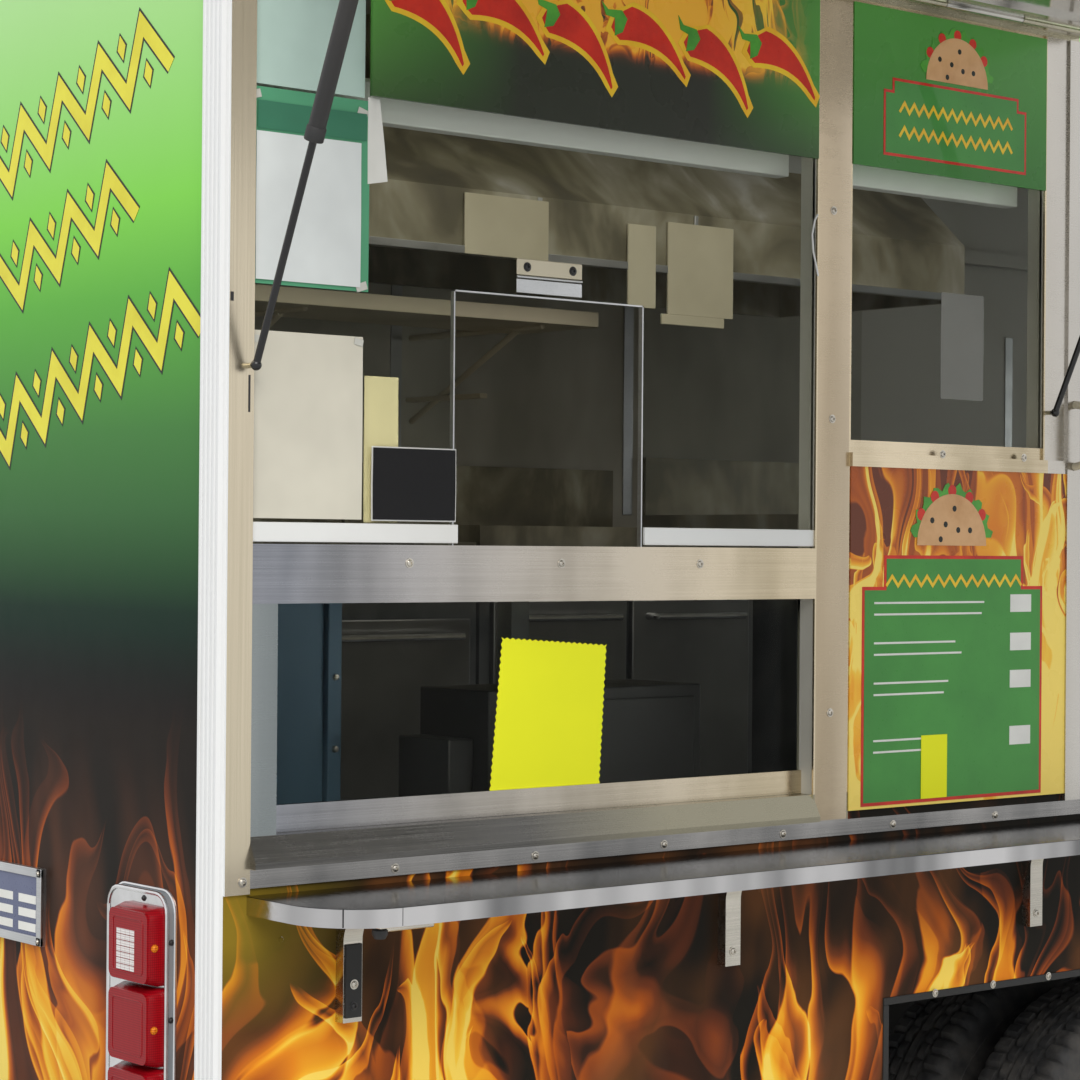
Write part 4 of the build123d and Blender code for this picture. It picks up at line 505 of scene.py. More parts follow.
def tyre_rubber():
    """Grey-black rubber with dust in its grooves."""
    g = material("tyre_rubber")
    spot = g.place()
    dust = spot.noise(14.0, 6.0, 0.65)
    g.surface(
        Base_Color=g.mix(dust.span(0.42, 0.75), (0.018, 0.018, 0.019), (0.085, 0.078, 0.07)),
        Roughness=dust.span(0.4, 0.7, 0.62, 0.88), Normal=g.bump(spot.noise(420.0, 3.0), 0.3, 0.0008),
    )


def printed(name, colour, shade=None, rough=0.45, blotch=3.0, coat=0.0):
    """Printed vinyl or paper in one colour, a little faded."""
    g = material(name)
    spot = g.place()
    fibre = spot.noise(260.0, 3.0)
    shade = shade or tuple(c * 0.82 for c in colour)
    g.surface(
        Base_Color=g.mix(spot.noise(blotch, 4.0, 0.6).span(0.4, 0.7), colour, shade), Coat_Weight=coat,
        Roughness=fibre.span(0.3, 0.7, rough - 0.05, rough + 0.08), Specular_IOR_Level=0.2,
        Normal=g.bump(fibre, 0.08, 0.0005),
    )


HEADER_FRONT, SECOND_BAY = REAR_X + 1.186, REAR_X + 1.248
SIGN_BOTTOM, SIGN_TOP, MENU_TOP = 2.295, 2.575, 2.0
HEADER_STOPS = (
    (0.0, (0.09, 0.32, 0.05)), (0.12, (0.05, 0.2, 0.03)), (0.3, (0.01, 0.02, 0.01)),
    (0.72, (0.01, 0.014, 0.01)), (0.9, (0.05, 0.2, 0.035)), (1.0, (0.08, 0.3, 0.05)),
)


def sign_print():
    """The printed headers and menu board: green ends, a black middle and fire."""
    g = material("sign_print")
    spot = g.place()
    x, _, z = spot.split()
    length = x.span(SIGN_REAR, HEADER_FRONT)
    rise = z.span(SIGN_BOTTOM, SIGN_TOP)
    green = g.mix(rise.span(0.0, 0.5, 0.75, 0.0), g.ramp(length, HEADER_STOPS), (0.008, 0.014, 0.008))
    top = rise.span(0.35, 0.6, kind="SMOOTHSTEP") * length.span(0.08, 0.25) * length.span(0.98, 0.85)
    fire = (flames(g, x, z, 0.2, 2.44) * (top * 1.9)).math("MINIMUM", 0.86)
    first = g.mix(1.0, green, g.ramp(fire, FLAME_STOPS), "ADD")
    second = g.mix(rise.span(0.05, 1.0), (0.04, 0.2, 0.03), (0.09, 0.34, 0.06))
    blaze = flames(g, x, z, 0.5, 1.16).math("MAXIMUM", flames(g, x + 4.7, z, 0.42, 1.42))
    menu = g.ramp(blaze * 1.1 + 0.26, FLAME_STOPS)
    g.surface(
        Base_Color=g.mix(z > MENU_TOP, menu, g.mix(x < SECOND_BAY, second, first)), Specular_IOR_Level=0.25,
        Roughness=spot.noise(12.0, 4.0).span(0.3, 0.7, 0.22, 0.36), Coat_Weight=0.1, Coat_Roughness=0.08,
    )


livery("livery", "outward")
livery("livery_side", "side")
livery("livery_rear", "rear")
for build_material in (corner_trims, shelf_steel, window_steel, kitchen_steel, chrome, tyre_rubber, sign_print):
    build_material()
clear_glass("sheet_glass", (0.9, 0.93, 0.92), 1.12)
clear_glass("window_glass", (0.9, 0.92, 0.88), 1.09)
# Brushed steels: light and dark tone, roughness, the grain's axis, its share of the tone
for row in (
    ("stainless", (0.64, 0.6, 0.53), (0.4, 0.38, 0.34), 0.24),
    ("stainless_upright", (0.27, 0.27, 0.27), (0.19, 0.19, 0.195), 0.36, "z", 0.15),
    ("stainless_rail", (0.5, 0.47, 0.37), (0.36, 0.34, 0.26), 0.24, "x", 0.3),
    ("canopy_steel", (0.6, 0.58, 0.54), (0.46, 0.45, 0.42), 0.12, "x", 0.3),
    ("aluminium", (0.62, 0.63, 0.64), (0.42, 0.43, 0.44), 0.34, "y", 0.4),
):
    steel(*row)
# Paints, plastics and rubbers: colour, roughness, worn colour, grain, its lift, metal, coat
for row in (
    ("white_enamel", (0.78, 0.79, 0.78), 0.34, (0.68, 0.67, 0.64), 30, 0.05, 0.0, 0.2),
    ("black_enamel", (0.012, 0.012, 0.013), 0.42, (0.05, 0.045, 0.04)),
    ("gloss_black", (0.008, 0.008, 0.009), 0.2, (0.02, 0.02, 0.02), 20, 0.04),
    ("chassis_black", (0.02, 0.019, 0.018), 0.6, (0.09, 0.06, 0.04), 30, 0.4),
    ("cast_iron", (0.05, 0.048, 0.046), 0.7, (0.13, 0.075, 0.045), 24, 0.6, 0.6),
    ("wheel_enamel", (0.62, 0.62, 0.6), 0.42, (0.3, 0.27, 0.23), 30, 0.1),
    ("black_plastic", (0.018, 0.018, 0.019), 0.55, (0.05, 0.05, 0.05), 60, 0.35),
    ("black_rubber", (0.012, 0.012, 0.012), 0.7, (0.045, 0.043, 0.04), 50, 0.4),
    ("seat_vinyl", (0.02, 0.02, 0.022), 0.5, (0.05, 0.05, 0.05), 26, 0.5),
    ("cream_enamel", (0.62, 0.56, 0.42), 0.4, (0.4, 0.36, 0.28)),
    ("grey_gasket", (0.2, 0.22, 0.24), 0.5, (0.28, 0.29, 0.3)),
    ("step_steel", (0.22, 0.21, 0.2), 0.5, (0.34, 0.32, 0.3), 24, 0.4, 0.6),
    ("hub_enamel", (0.42, 0.42, 0.41), 0.4, (0.2, 0.17, 0.14), 30, 0.1, 0.4),
    ("blue_steel", (0.08, 0.15, 0.22), 0.35, (0.12, 0.2, 0.27), 30, 0.1, 0.3),
):
    coated(*row)
for row in (
    ("headlamp_glass", (0.42, 0.45, 0.48), (0.12, 0.13, 0.15)),
    ("red_lens", (0.36, 0.004, 0.01), (0.2, 0.002, 0.006)),
    ("amber_lens", (0.9, 0.3, 0.02), (0.5, 0.12, 0.01)),
    ("white_lens", (0.9, 0.88, 0.86), (0.55, 0.5, 0.5)),
):
    lens(*row)
# Prints and papers: colour, faded colour, roughness, size of the fading, coat
for row in (
    ("ink_red", (0.7, 0.03, 0.012), (0.5, 0.015, 0.008), 0.32, 14, 0.3),
    ("ink_yellow", (0.92, 0.62, 0.03), (0.86, 0.45, 0.02), 0.32, 14, 0.3),
    ("ink_lemon", (0.8, 0.74, 0.05), (0.7, 0.62, 0.03), 0.36, 10, 0.2),
    ("ink_black", (0.008, 0.01, 0.008), (0.012, 0.02, 0.012), 0.36, 6, 0.2),
    ("ink_green", (0.06, 0.3, 0.05), (0.045, 0.24, 0.04), 0.32, 5, 0.3),
    ("ink_leaf", (0.09, 0.4, 0.04), (0.05, 0.26, 0.03), 0.32, 20, 0.3),
    ("ink_tan", (0.72, 0.42, 0.2), (0.6, 0.32, 0.13), 0.32, 18, 0.3),
    ("ink_white", (0.8, 0.8, 0.76), (0.72, 0.72, 0.68), 0.32, 9, 0.3),
    ("neon_paper", (0.93, 0.95, 0.02), (0.88, 0.91, 0.02), 0.55),
    ("tape", (0.6, 0.6, 0.55), None, 0.3),
    ("slate_blue_plate", (0.11, 0.125, 0.21), (0.15, 0.17, 0.27), 0.3),
    ("order_sheets", (0.8, 0.74, 0.56), (0.66, 0.6, 0.44), 0.6),
):
    printed(*row)

# The solids that each material covers
COVERED = {
    "chassis_black": "frame front_axle leaf_springs fuel_tank hitch rear_bumper firewall front_wheel_wells",
    "cast_iron": "engine rear_axle knuckle_right knuckle_left",
    "aluminium": "exhaust plate_holder roof_fan",
    "black_enamel": "front_bumper strut_barrels",
    "kitchen_steel": "floor floor_wells service_counter cook_line exhaust_hood",
    "livery_side": "right_wall left_wall",
    "livery_rear": "rear_wall rear_door",
    "white_enamel": "roof",
    "livery": "nose windscreen_frame door_right door_left hood",
    "sheet_glass": "cab_glass door_glass_right door_glass_left",
    "corner_trims": "corner_trims",
    "black_plastic": "grille mirrors dashboard steering_wheel",
    "chrome": "headlamps tail_lamp_bezels",
    "red_lens": "tail_lamp_lenses",
    "window_steel": "window_frame",
    "window_glass": "window_glass",
    "sign_print": "sign_panels",
    "shelf_steel": "shelf",
    "stainless": "shelf_brackets",
    "stainless_rail": "canopy_rail",
    "canopy_steel": "canopy",
    "gloss_black": "strut_rods",
    "seat_vinyl": "driver_seat",
    "tyre_rubber": "tyre_front_right tyre_front_left tyres_rear_right tyres_rear_left",
    "wheel_enamel": "rim_front_right rim_front_left rims_rear_right rims_rear_left",
}
for name, covered in COVERED.items():
    for node in covered.split():
        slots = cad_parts[node].data.materials
        slots.clear()
        slots.append(MATERIALS[name])


def form(add):
    """Marks a function so that, given its measures, it returns a builder that adds the form to a bmesh."""
    return lambda *measures: lambda bm: add(bm, *measures)


SHARP = math.radians(35)


def piece(name, material, slot, *builders, body="truck", bevel=0.0, smooth=True):
    """A new piece from builders that each add a form to its bmesh."""
    bm = bmesh.new()
    for build in builders:
        build(bm)
    bmesh.ops.recalc_face_normals(bm, faces=bm.faces)
    mesh = bpy.data.meshes.new(name)
    bm.to_mesh(mesh)
    bm.free()
    obj = bpy.data.objects.new(name, mesh)
    scene.collection.objects.link(obj)
    mesh.materials.append(MATERIALS[material])
    if bevel:
        modifier = obj.modifiers.new("bevel", "BEVEL")
        modifier.width = bevel
        modifier.segments = 2
        modifier.limit_method = "ANGLE"
    if smooth:
        for face in mesh.polygons:
            face.use_smooth = True
        mesh.set_sharp_from_angle(angle=SHARP)
    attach(obj, body)
    return obj


def bridge(bm, low, high):
    """Faces between two rings of as many points."""
    for i in range(len(low)):
        j = (i + 1) % len(low)
        bm.faces.new((low[i], low[j], high[j], high[i]))


def ring(bm, centre, first, second, r, steps):
    """A ring of points, or one point where the radius is nothing."""
    turns = [2 * math.pi * i / steps for i in range(steps if r else 1)]
    return [bm.verts.new(centre + (first * math.cos(turn) + second * math.sin(turn)) * r) for turn in turns]


@form
def box(bm, low, high):
    """An axis-aligned box between two corners."""
    low, high = (Vector([f(a, b) for a, b in zip(low, high)]) for f in (min, max))
    corners = [(low.x, low.y), (high.x, low.y), (high.x, high.y), (low.x, high.y)]
    rings = [[bm.verts.new((x, y, z)) for x, y in corners] for z in (low.z, high.z)]
    bm.faces.new(rings[0])
    bm.faces.new(rings[1])
    bridge(bm, *rings)


@form
def plate(bm, outline, low, high, place):
    """A plate from an outline of (u, v) points. Place maps (u, v, height off the surface) to a point."""
    rings = [[bm.verts.new(place(u, v, w)) for u, v in outline] for w in (low, high)]
    caps = [bm.faces.new(points) for points in rings]
    bridge(bm, *rings)
    if len(outline) > 4:
        for cap in caps:
            cap.normal_update()
        bmesh.ops.triangulate(bm, faces=caps)


def left_of(v):
    return Vector((-v.y, v.x))


@form
def ribbon(bm, line, half, low, high, place):
    """A flat stroke of an even width along a line of (u, v) points."""
    pairs = []
    for i, here in enumerate(line):
        a = (here - line[max(i - 1, 0)]).normalized()
        b = (line[min(i + 1, len(line) - 1)] - here).normalized()
        a, b = (a if a.length else b), (b if b.length else a)
        normal = left_of(a + b).normalized()
        reach = half / max(0.35, normal.dot(left_of(a)))
        pairs.append((here + normal * reach, here - normal * reach))
    for (a0, a1), (b0, b1) in zip(pairs, pairs[1:]):
        plate((a0, b0, b1, a1), low, high, place)(bm)


@form
def turned(bm, profile, centre, axis, steps=16):
    """A turned form from (radius, height) points about an axis through a centre."""
    axis = Vector(axis).normalized()
    first = axis.orthogonal().normalized()
    second = axis.cross(first)
    rings = [ring(bm, Vector(centre) + axis * h, first, second, r, steps) for r, h in profile]
    for a, b in zip(rings, rings[1:]):
        if len(a) > 1 and len(b) > 1:
            bridge(bm, a, b)
        elif len(a) + len(b) > 2:
            for i in range(steps):
                j = (i + 1) % steps
                bm.faces.new((a[0], b[i], b[j]) if len(a) == 1 else (a[i], a[j], b[0]))


def screw(centre, axis, r):
    """A domed screw head with a washer and a socket."""
    profile = (
        (r * 1.35, 0.0), (r * 1.35, 0.0008), (r, 0.0009), (r * 0.92, 0.0022), (r * 0.6, 0.0034),
        (r * 0.42, 0.0036), (r * 0.36, 0.0018), (0.0, 0.0016),
    )
    return turned(profile, centre, axis, 14)


@form
def tube(bm, path, r, steps=10):
    """A round bar along a path of points."""
    rings = []
    first = None
    for i, point in enumerate(path):
        along = (path[min(i + 1, len(path) - 1)] - path[max(i - 1, 0)]).normalized()
        first = (first - along * first.dot(along) if rings else along.orthogonal()).normalized()
        rings.append(ring(bm, point, first, along.cross(first), r, steps))
    bm.faces.new(rings[0])
    bm.faces.new(rings[-1])
    for a, b in zip(rings, rings[1:]):
        bridge(bm, a, b)


def loop(points, r, steps=8):
    """A round bar along a closed path."""
    return tube(points + points[:1], r, steps)


@form
def skin(bm, loops, capped):
    """A form through rings of points: capped at both ends, or led back to the first ring."""
    rings = [[bm.verts.new(point) for point in points] for points in loops]
    for a, b in zip(rings, rings[1:] if capped else rings[1:] + rings[:1]):
        bridge(bm, a, b)
    if capped:
        bm.faces.new(rings[0])
        bm.faces.new(rings[-1])


def both(*builders):
    """Adds forms on the right rear corner and their mirror image on the left one."""

    def build(bm):
        for one in builders:
            one(bm)
        made = list(bm.verts)
        bm.verts.index_update()
        faces = [[v.index for v in f.verts] for f in bm.faces]
        copies = [bm.verts.new((v.co.x, 2 * MIDDLE_Y - v.co.y, v.co.z)) for v in made]
        for indices in faces:
            bm.faces.new([copies[i] for i in reversed(indices)])

    return build


OUT, LEFT, BACK, UP = (0, -1, 0), (0, 1, 0), (-1, 0, 0), (0, 0, 1)


def on_side(x, z, lift):
    return side(x, lift, z)


def on_rear(inboard, z, lift):
    return rear(inboard, lift, z)


def rect(x0, x1, z0, z1):
    return ((x0, z0), (x1, z0), (x1, z1), (x0, z1))


def spun(points, centre, tilt, size=1.0):
    """Points scaled and turned about (0, 0), then moved to a centre."""
    c, s = math.cos(tilt), math.sin(tilt)
    return [(centre[0] + (u * c - v * s) * size, centre[1] + (u * s + v * c) * size) for u, v in points]


def on_arc(centre, radius, turn):
    """The point of a circle at a turn in degrees."""
    turn = math.radians(turn)
    return (centre[0] + radius * math.cos(turn), centre[1] + radius * math.sin(turn))


def arc(centre, radius, start, end, count):
    return [on_arc(centre, radius, start + (end - start) * i / count) for i in range(count + 1)]


def rounded(a0, a1, b0, b1, r, count=4):
    """An oblong outline with round corners."""
    centres = ((a1 - r, b1 - r), (a0 + r, b1 - r), (a0 + r, b0 + r), (a1 - r, b0 + r))
    return [point for k, centre in enumerate(centres) for point in arc(centre, r, 90 * k, 90 * k + 90, count)]


def flats(name, material, slot, low, high, outlines, place=on_side):
    """A piece of thin plates between two heights off a wall."""
    piece(name, material, slot, *[plate(line, low, high, place) for line in outlines], smooth=False)


# Service side. Screws: X of the first, pitch, count, height, distance out
SCREW_ROWS = (
    (0.323, 0.2975, 3, 1.604, 0.004), (0.301, 0.271, 6, 1.149, 0.004), (1.225, 1.0, 1, 2.21, 0.004),
    (1.225, 1.0, 1, 1.853, 0.004), (1.225, 1.0, 1, 1.35, 0.004), (0.393, 0.221, 7, 2.6455, 0.004),
    (1.498, 0.221, 2, 1.8, 0.012), (0.03, 1.0, 1, 1.148, 0.004), (1.499, 0.1555, 3, 0.842, 0.003),
)
piece("side_screws", "stainless", "stainless", *[
    screw(side(x + i * pitch, out, z), OUT, 0.0055)
    for x, pitch, count, z, out in SCREW_ROWS for i in range(count)
])
piece("sash_strips", "white_enamel", "white_paint", *[
    box(side(low, 0.0, 1.634), side(high, -0.0058, 1.6625)) for low, high in ((0.043, 0.418), (0.8, 1.189))
], bevel=0.001)
# The pass-through's polished edge: each strip's ends along and up the side
piece("hatch_edge", "aluminium", "aluminium", *[
    box(side(x0, -0.0045, z0), side(x1, -0.0135, z1))
    for x0, x1, z0, z1 in (
        (0.41, 0.4125, 1.631, 2.02), (0.7945, 0.797, 1.631, 2.02), (0.41, 0.797, 2.0175, 2.02),
    )
])
piece(
    "hatch_hinge_upper", "cream_enamel", "white_paint",
    box(side(0.532, -0.0058, 2.052), side(0.665, -0.0028, 2.077)), bevel=0.0015,
)
piece(
    "hatch_hinge_lower", "aluminium", "aluminium",
    box(side(0.532, -0.0058, 2.024), side(0.665, -0.0035, 2.0455)),
    tube([side(x, -0.0035, 2.0488) for x in (0.532, 0.6, 0.665)], 0.0022), bevel=0.001,
)
piece("hatch_hinge_screws", "black_enamel", "black_paint", *[
    screw(side(x, -0.0028, 2.0645), OUT, 0.0055) for x in (0.552, 0.645)
])


# Papers on the glass, all blank
@form
def paper(bm, corners, out, seed):
    """A thin sheet through four (x, z) corners, a little wavy, as a closed form."""
    random.seed(seed)
    phase = random.uniform(0, 6)
    count, swell, thick = 12, 0.0012, 0.0004
    sides = []
    for w in (0.0, thick):
        grid = []
        for i in range(count + 1):
            row = []
            for j in range(count + 1):
                s, t = i / count, j / count
                low = Vector(corners[0]).lerp(Vector(corners[1]), s)
                high = Vector(corners[3]).lerp(Vector(corners[2]), s)
                x, z = low.lerp(high, t)
                wave = 0.5 + 0.5 * math.sin(phase + 5 * s + 3 * t) * math.sin(phase + 2 * s - 4 * t)
                row.append(bm.verts.new(side(x, out + w + swell * wave, z)))
            grid.append(row)
        sides.append(grid)
    for grid in sides:
        for i in range(count):
            for j in range(count):
                bm.faces.new((grid[i][j], grid[i + 1][j], grid[i + 1][j + 1], grid[i][j + 1]))
    near, far = sides
    for i in range(count):
        for j in (0, count):
            bm.faces.new((near[i][j], near[i + 1][j], far[i + 1][j], far[i][j]))
            bm.faces.new((near[j][i], near[j][i + 1], far[j][i + 1], far[j][i]))


LOOSE_SHEET = ((0.246, 2.165), (0.283, 2.172), (0.268, 2.292), (0.246, 2.294))
PAPERS = (
    ("paper_teal", rect(0.046, 0.24, 2.292, 2.56), -0.0055, (0.5, 0.66, 0.6)),
    ("placard_green", rect(0.046, 0.249, 2.005, 2.288), -0.0055, (0.1, 0.36, 0.2)),
    ("placard_head", rect(0.05, 0.243, 2.228, 2.268), -0.0035, (0.05, 0.2, 0.12)),
    ("placard_white", rect(0.048, 0.233, 2.011, 2.224), -0.0035, (0.74, 0.78, 0.78)),
    ("permit_cream", rect(0.046, 0.24, 1.668, 1.938), -0.0055, (0.68, 0.65, 0.55)),
    ("folder_yellow", rect(0.252, 0.315, 1.664, 1.882), -0.018, (0.68, 0.6, 0.36)),
    ("card_edge", rect(0.2575, 0.4165, 1.6665, 1.7775), -0.0056, (0.7, 0.7, 0.68)),
    ("card_black", rect(0.2595, 0.4145, 1.6685, 1.7755), -0.0044, (0.006, 0.006, 0.007)),
    ("sheet_loose", LOOSE_SHEET, -0.0055, (0.78, 0.78, 0.74)),
    ("notice_faded", rect(1.51, 1.625, 1.9, 2.09), -0.0058, (0.2, 0.2, 0.18)),
)
for index, (name, corners, out, colour) in enumerate(PAPERS):
    printed(name, colour)
    piece(name, name, "white_paint", paper(corners, out, index))


def pinked(corners, teeth, depth):
    """Points round a four-sided sheet whose edges are cut in small teeth."""
    points = []
    for i, corner in enumerate(corners):
        a, b = Vector(corner), Vector(corners[(i + 1) % len(corners)])
        inward = left_of((b - a).normalized())
        steps = int((b - a).length / teeth)
        for k in range(steps):
            points += [a.lerp(b, k / steps), a.lerp(b, (k + 0.5) / steps) + inward * depth]
    return points


POSTER = ((0.507, 1.231), (0.734, 1.219), (0.749, 1.474), (0.531, 1.489))
flats("poster_neon", "neon_paper", "white_paint", -0.0334, -0.0328, [pinked(POSTER, 0.011, 0.003)])
# Bits of tape: place and length
TAPES = (
    (0.046, 2.276, 0.02), (0.236, 2.27, 0.018), (0.236, 2.012, 0.02),
    (0.048, 1.926, 0.018), (0.232, 1.93, 0.016),
)
flats("tape_bits", "tape", "white_paint", -0.0038, -0.0034, [
    spun(rect(-1, 1, -0.6, 0.6), (x, z), 0.35 * math.sin(x * 90 + z * 40), size / 2) for x, z, size in TAPES
])


# Generic ornaments on the headers: chillies with a yellow edge
def chilli(centre, long, tilt, grow):
    """Outline of a curved chilli pepper."""
    count = 14
    upper, lower = [], []
    for i in range(count + 1):
        s = i / count
        u = (s - 0.5) * long
        bow = 0.16 * long * (1 - (2 * s - 1) ** 2)
        swell = math.sqrt(max(0.0, math.sin(math.pi * min(1.0, s * 0.56 + 0.42))))
        half = long * 0.2 * swell * (1 - s * 0.72) * min(1.0, s * 6 + 0.25) + grow
        if i in (0, count):
            u += grow if i else -grow
        upper.append((u, bow + half))
        lower.append((u, bow - half))
    return spun(upper + lower[::-1], centre, tilt)


def board(x0, x1, z0, z1, cut):
    """Outline of a board with notched upper corners."""
    left, right, low = x0 + cut, x1 - cut, z1 - cut
    return ((x0, z0), (x1, z0), (x1, low), (right, low), (right, z1), (left, z1), (left, low), (x0, low))


def zigzag(a, b, waves, tall):
    """A zigzag line of (u, v) points from a to b."""
    a, b = Vector(a), Vector(b)
    aside = left_of((b - a).normalized())
    return [a.lerp(b, i / waves) + aside * (tall if i % 2 else -tall) for i in range(waves + 1)]


# Chillies: middle, length and tilt of each
CHILLIES = [((0.345 + i * 0.15, 2.43 if i % 2 else 2.41), 0.172, -0.62 + 0.2 * (i % 2)) for i in range(6)]
STALK = (
    (-0.7, 0.11), (-0.6, 0.02), (-0.5, 0.05), (-0.43, -0.1), (-0.36, -0.02), (-0.36, 0.12), (-0.45, 0.16),
    (-0.6, 0.08),
)
flats("header_chilli_glow", "ink_yellow", "sign", 0.0062, 0.0066, [chilli(*row, 0.009) for row in CHILLIES])
flats("header_chilli", "ink_red", "sign", 0.0064, 0.007, [chilli(*row, 0.0) for row in CHILLIES])
flats("header_chilli_stalks", "ink_leaf", "sign", 0.0062, 0.0072, [
    spun(STALK, centre, tilt, long) for centre, long, tilt in CHILLIES
])
flats("board_outline", "ink_red", "sign", 0.0062, 0.0066, [
    board(1.3, 1.78, 1.184, 1.62, 0.055), board(1.345, 1.725, 2.318, 2.455, 0.022)
])
flats("board_field", "ink_green", "sign", 0.0064, 0.0069, [
    board(1.306, 1.774, 1.19, 1.614, 0.055), board(1.35, 1.72, 2.323, 2.45, 0.022)
])
piece("board_ornament", "ink_yellow", "sign", *[
    ribbon(zigzag((x0, z), (x1, z), 24, 0.0085), 0.0028, 0.0068, 0.0073, on_side)
    for x0, x1, z in ((1.385, 1.685, 2.405), (1.385, 1.685, 2.362), (1.36, 1.72, 1.575))
], smooth=False)
piece("board_prices", "ink_white", "sign", *[
    plate(rect(1.69, 1.748, low, high), 0.0068, 0.0073, on_side)
    for low, high in ((1.518, 1.55), (1.448, 1.48), (1.38, 1.412), (1.276, 1.31))
], *[
    plate(rect(1.33, 1.56 + 0.06 * math.sin(z * 300), z, z + 0.0035), 0.0068, 0.0072, on_side)
    for z in (1.535, 1.515, 1.465, 1.445, 1.395, 1.375, 1.295, 1.275)
], smooth=False)
# Filled tacos, as plain pictograms: middle and radius of each
TACOS = (((1.535, 2.462), 0.082), ((1.53, 1.638), 0.092))
TACO_SPOTS = ((30, 0.6), (60, 0.35), (85, 0.72), (115, 0.45), (140, 0.75), (160, 0.35))
flats("taco_shell", "ink_tan", "sign", 0.0068, 0.0074, [arc(centre, r, 0, 180, 24) for centre, r in TACOS])
flats("taco_filling", "ink_leaf", "sign", 0.0064, 0.0069, [
    [on_arc(centre, r * 1.16 * (1.0 + 0.07 * math.sin(i * 1.9)), 8 + 164 * i / 32) for i in range(33)]
    for centre, r in TACOS
])
flats("taco_tomato", "ink_red", "sign", 0.0066, 0.0071, [
    arc(on_arc(centre, r * 1.06, turn), r * 0.12, 0, 330, 11)
    for centre, r in TACOS for turn in (35, 62, 90, 118, 146)
])
flats("taco_spots", "ink_black", "sign", 0.0072, 0.0076, [
    arc(on_arc(centre, r * reach, turn), r * 0.06, 0, 320, 9)
    for centre, r in TACOS for turn, reach in TACO_SPOTS
])
flats("note_neon", "neon_paper", "white_paint", 0.0076, 0.0081, [rect(1.452, 1.52, 1.19, 1.302)])

# Zigzag bands on the rear wall: both ends as (inboard, z), waves and half height
BANDS = (
    ((0.71, 2.232), (0.168, 2.376), 9, 0.046), ((0.672, 2.045), (0.262, 2.163), 7, 0.044),
    ((0.71, 1.80), (0.08, 1.982), 11, 0.046),
)


@form
def band(bm, row, grow, low, high):
    """A zigzag and the lozenges between its strokes, grown by an outline's width."""
    a, b, waves, tall = row
    ribbon(zigzag(a, b, waves, tall), 0.0115 + grow, low, high, on_rear)(bm)
    a, b = Vector(a), Vector(b)
    along = (b - a).normalized()
    tip, waist = left_of(along) * (0.02 + grow * 1.3), along * (0.0115 + grow * 1.2)
    for i in range(1, waves):
        centre = a.lerp(b, i / waves) + left_of(along) * (-tall if i % 2 else tall) * 0.72
        plate([centre + waist, centre + tip, centre - waist, centre - tip], low, high, on_rear)(bm)


piece("rear_band_outline", "ink_black", "livery", *[
    band(row, 0.0035, 0.0002, 0.0005) for row in BANDS
], smooth=False)
piece("rear_band", "ink_lemon", "livery", *[band(row, 0.0, 0.0004, 0.0008) for row in BANDS], smooth=False)

# Tail lamps: each lens's inboard span, height, pitch, and how far out its face lies
LENS_Y0, LENS_Y1, LENS_TALL, LENS_OUT = 0.132, 0.239, 0.103, 0.044
LENS_TOPS = [1.094 - i * 0.118 for i in range(3)]
LENS_FOOT = ((0.0135, 0.006), (0.02, 0.0062), (0.036, 0.0018), (0.0415, 0.0002))
FRAME_IN = 0.012
# The ribs of the clear reversing window: columns and rungs
RIB_WIDE, RIB_TALL = 0.0505 / 4, 0.061 / 7


def behind(outline, out):
    """An outline's points at a distance behind the rear wall."""
    return [rear(u, out, v) for u, v in outline]


piece("lamp_skirts", "red_lens", "red_lens", both(*[
    skin([
        behind(rounded(LENS_Y0 - grow * 0.4, LENS_Y1 + grow, top - LENS_TALL - grow, top + grow, 0.0135), out)
        for out, grow in LENS_FOOT
    ], True) for top in LENS_TOPS
]))
piece("lamp_frames", "red_lens", "red_lens", both(*[
    loop(behind(rounded(
        LENS_Y0 + FRAME_IN, LENS_Y1 - FRAME_IN, top - LENS_TALL + FRAME_IN, top - FRAME_IN, 0.006
    ), LENS_OUT), 0.0011, 6) for top in LENS_TOPS
]))
piece("lamp_windows", "white_lens", "red_lens", both(*[
    box(
        rear(u + 0.0008, LENS_OUT - 0.002, v + 0.0006),
        rear(u + RIB_WIDE - 0.0008, LENS_OUT + 0.001, v + RIB_TALL - 0.0006),
    )
    for u in [0.166 + i * RIB_WIDE for i in range(4)] for v in [1.005 + j * RIB_TALL for j in range(7)]
]), smooth=False)
piece("lamp_side_screws", "amber_lens", "red_lens", both(*[
    screw(rear(LENS_Y0 - 0.0015, 0.032, z), OUT, 0.0042) for z in (1.043, 0.924, 0.806)
]))
piece("bezel_screws", "black_plastic", "chrome", both(
    *[screw(rear(0.125, 0.007, z), OUT, 0.0034) for z in (1.05, 0.937, 0.82)],
    screw(rear(0.19, 0.014, 1.1085), BACK, 0.0034),
))
piece("lamp_bezel_beads", "chrome", "chrome", both(
    loop(behind(rounded(0.1265, 0.2895, 0.7215, 1.1185, 0.028, 6), 0.0135), 0.0036),
    loop(behind(rounded(0.1225, 0.2935, 0.7175, 1.1225, 0.032, 6), 0.0015), 0.0032),
))
GASKET_OUTER = rounded(0.1244, 0.2916, 0.7194, 1.1206, 0.03, 6)
GASKET_INNER = rounded(0.1254, 0.2906, 0.7204, 1.1196, 0.029, 6)
piece("lamp_gaskets", "grey_gasket", "black_plastic", both(skin([
    behind(GASKET_OUTER, 0.002), behind(GASKET_OUTER, 0.012),
    behind(GASKET_INNER, 0.012), behind(GASKET_INNER, 0.002),
], False)))

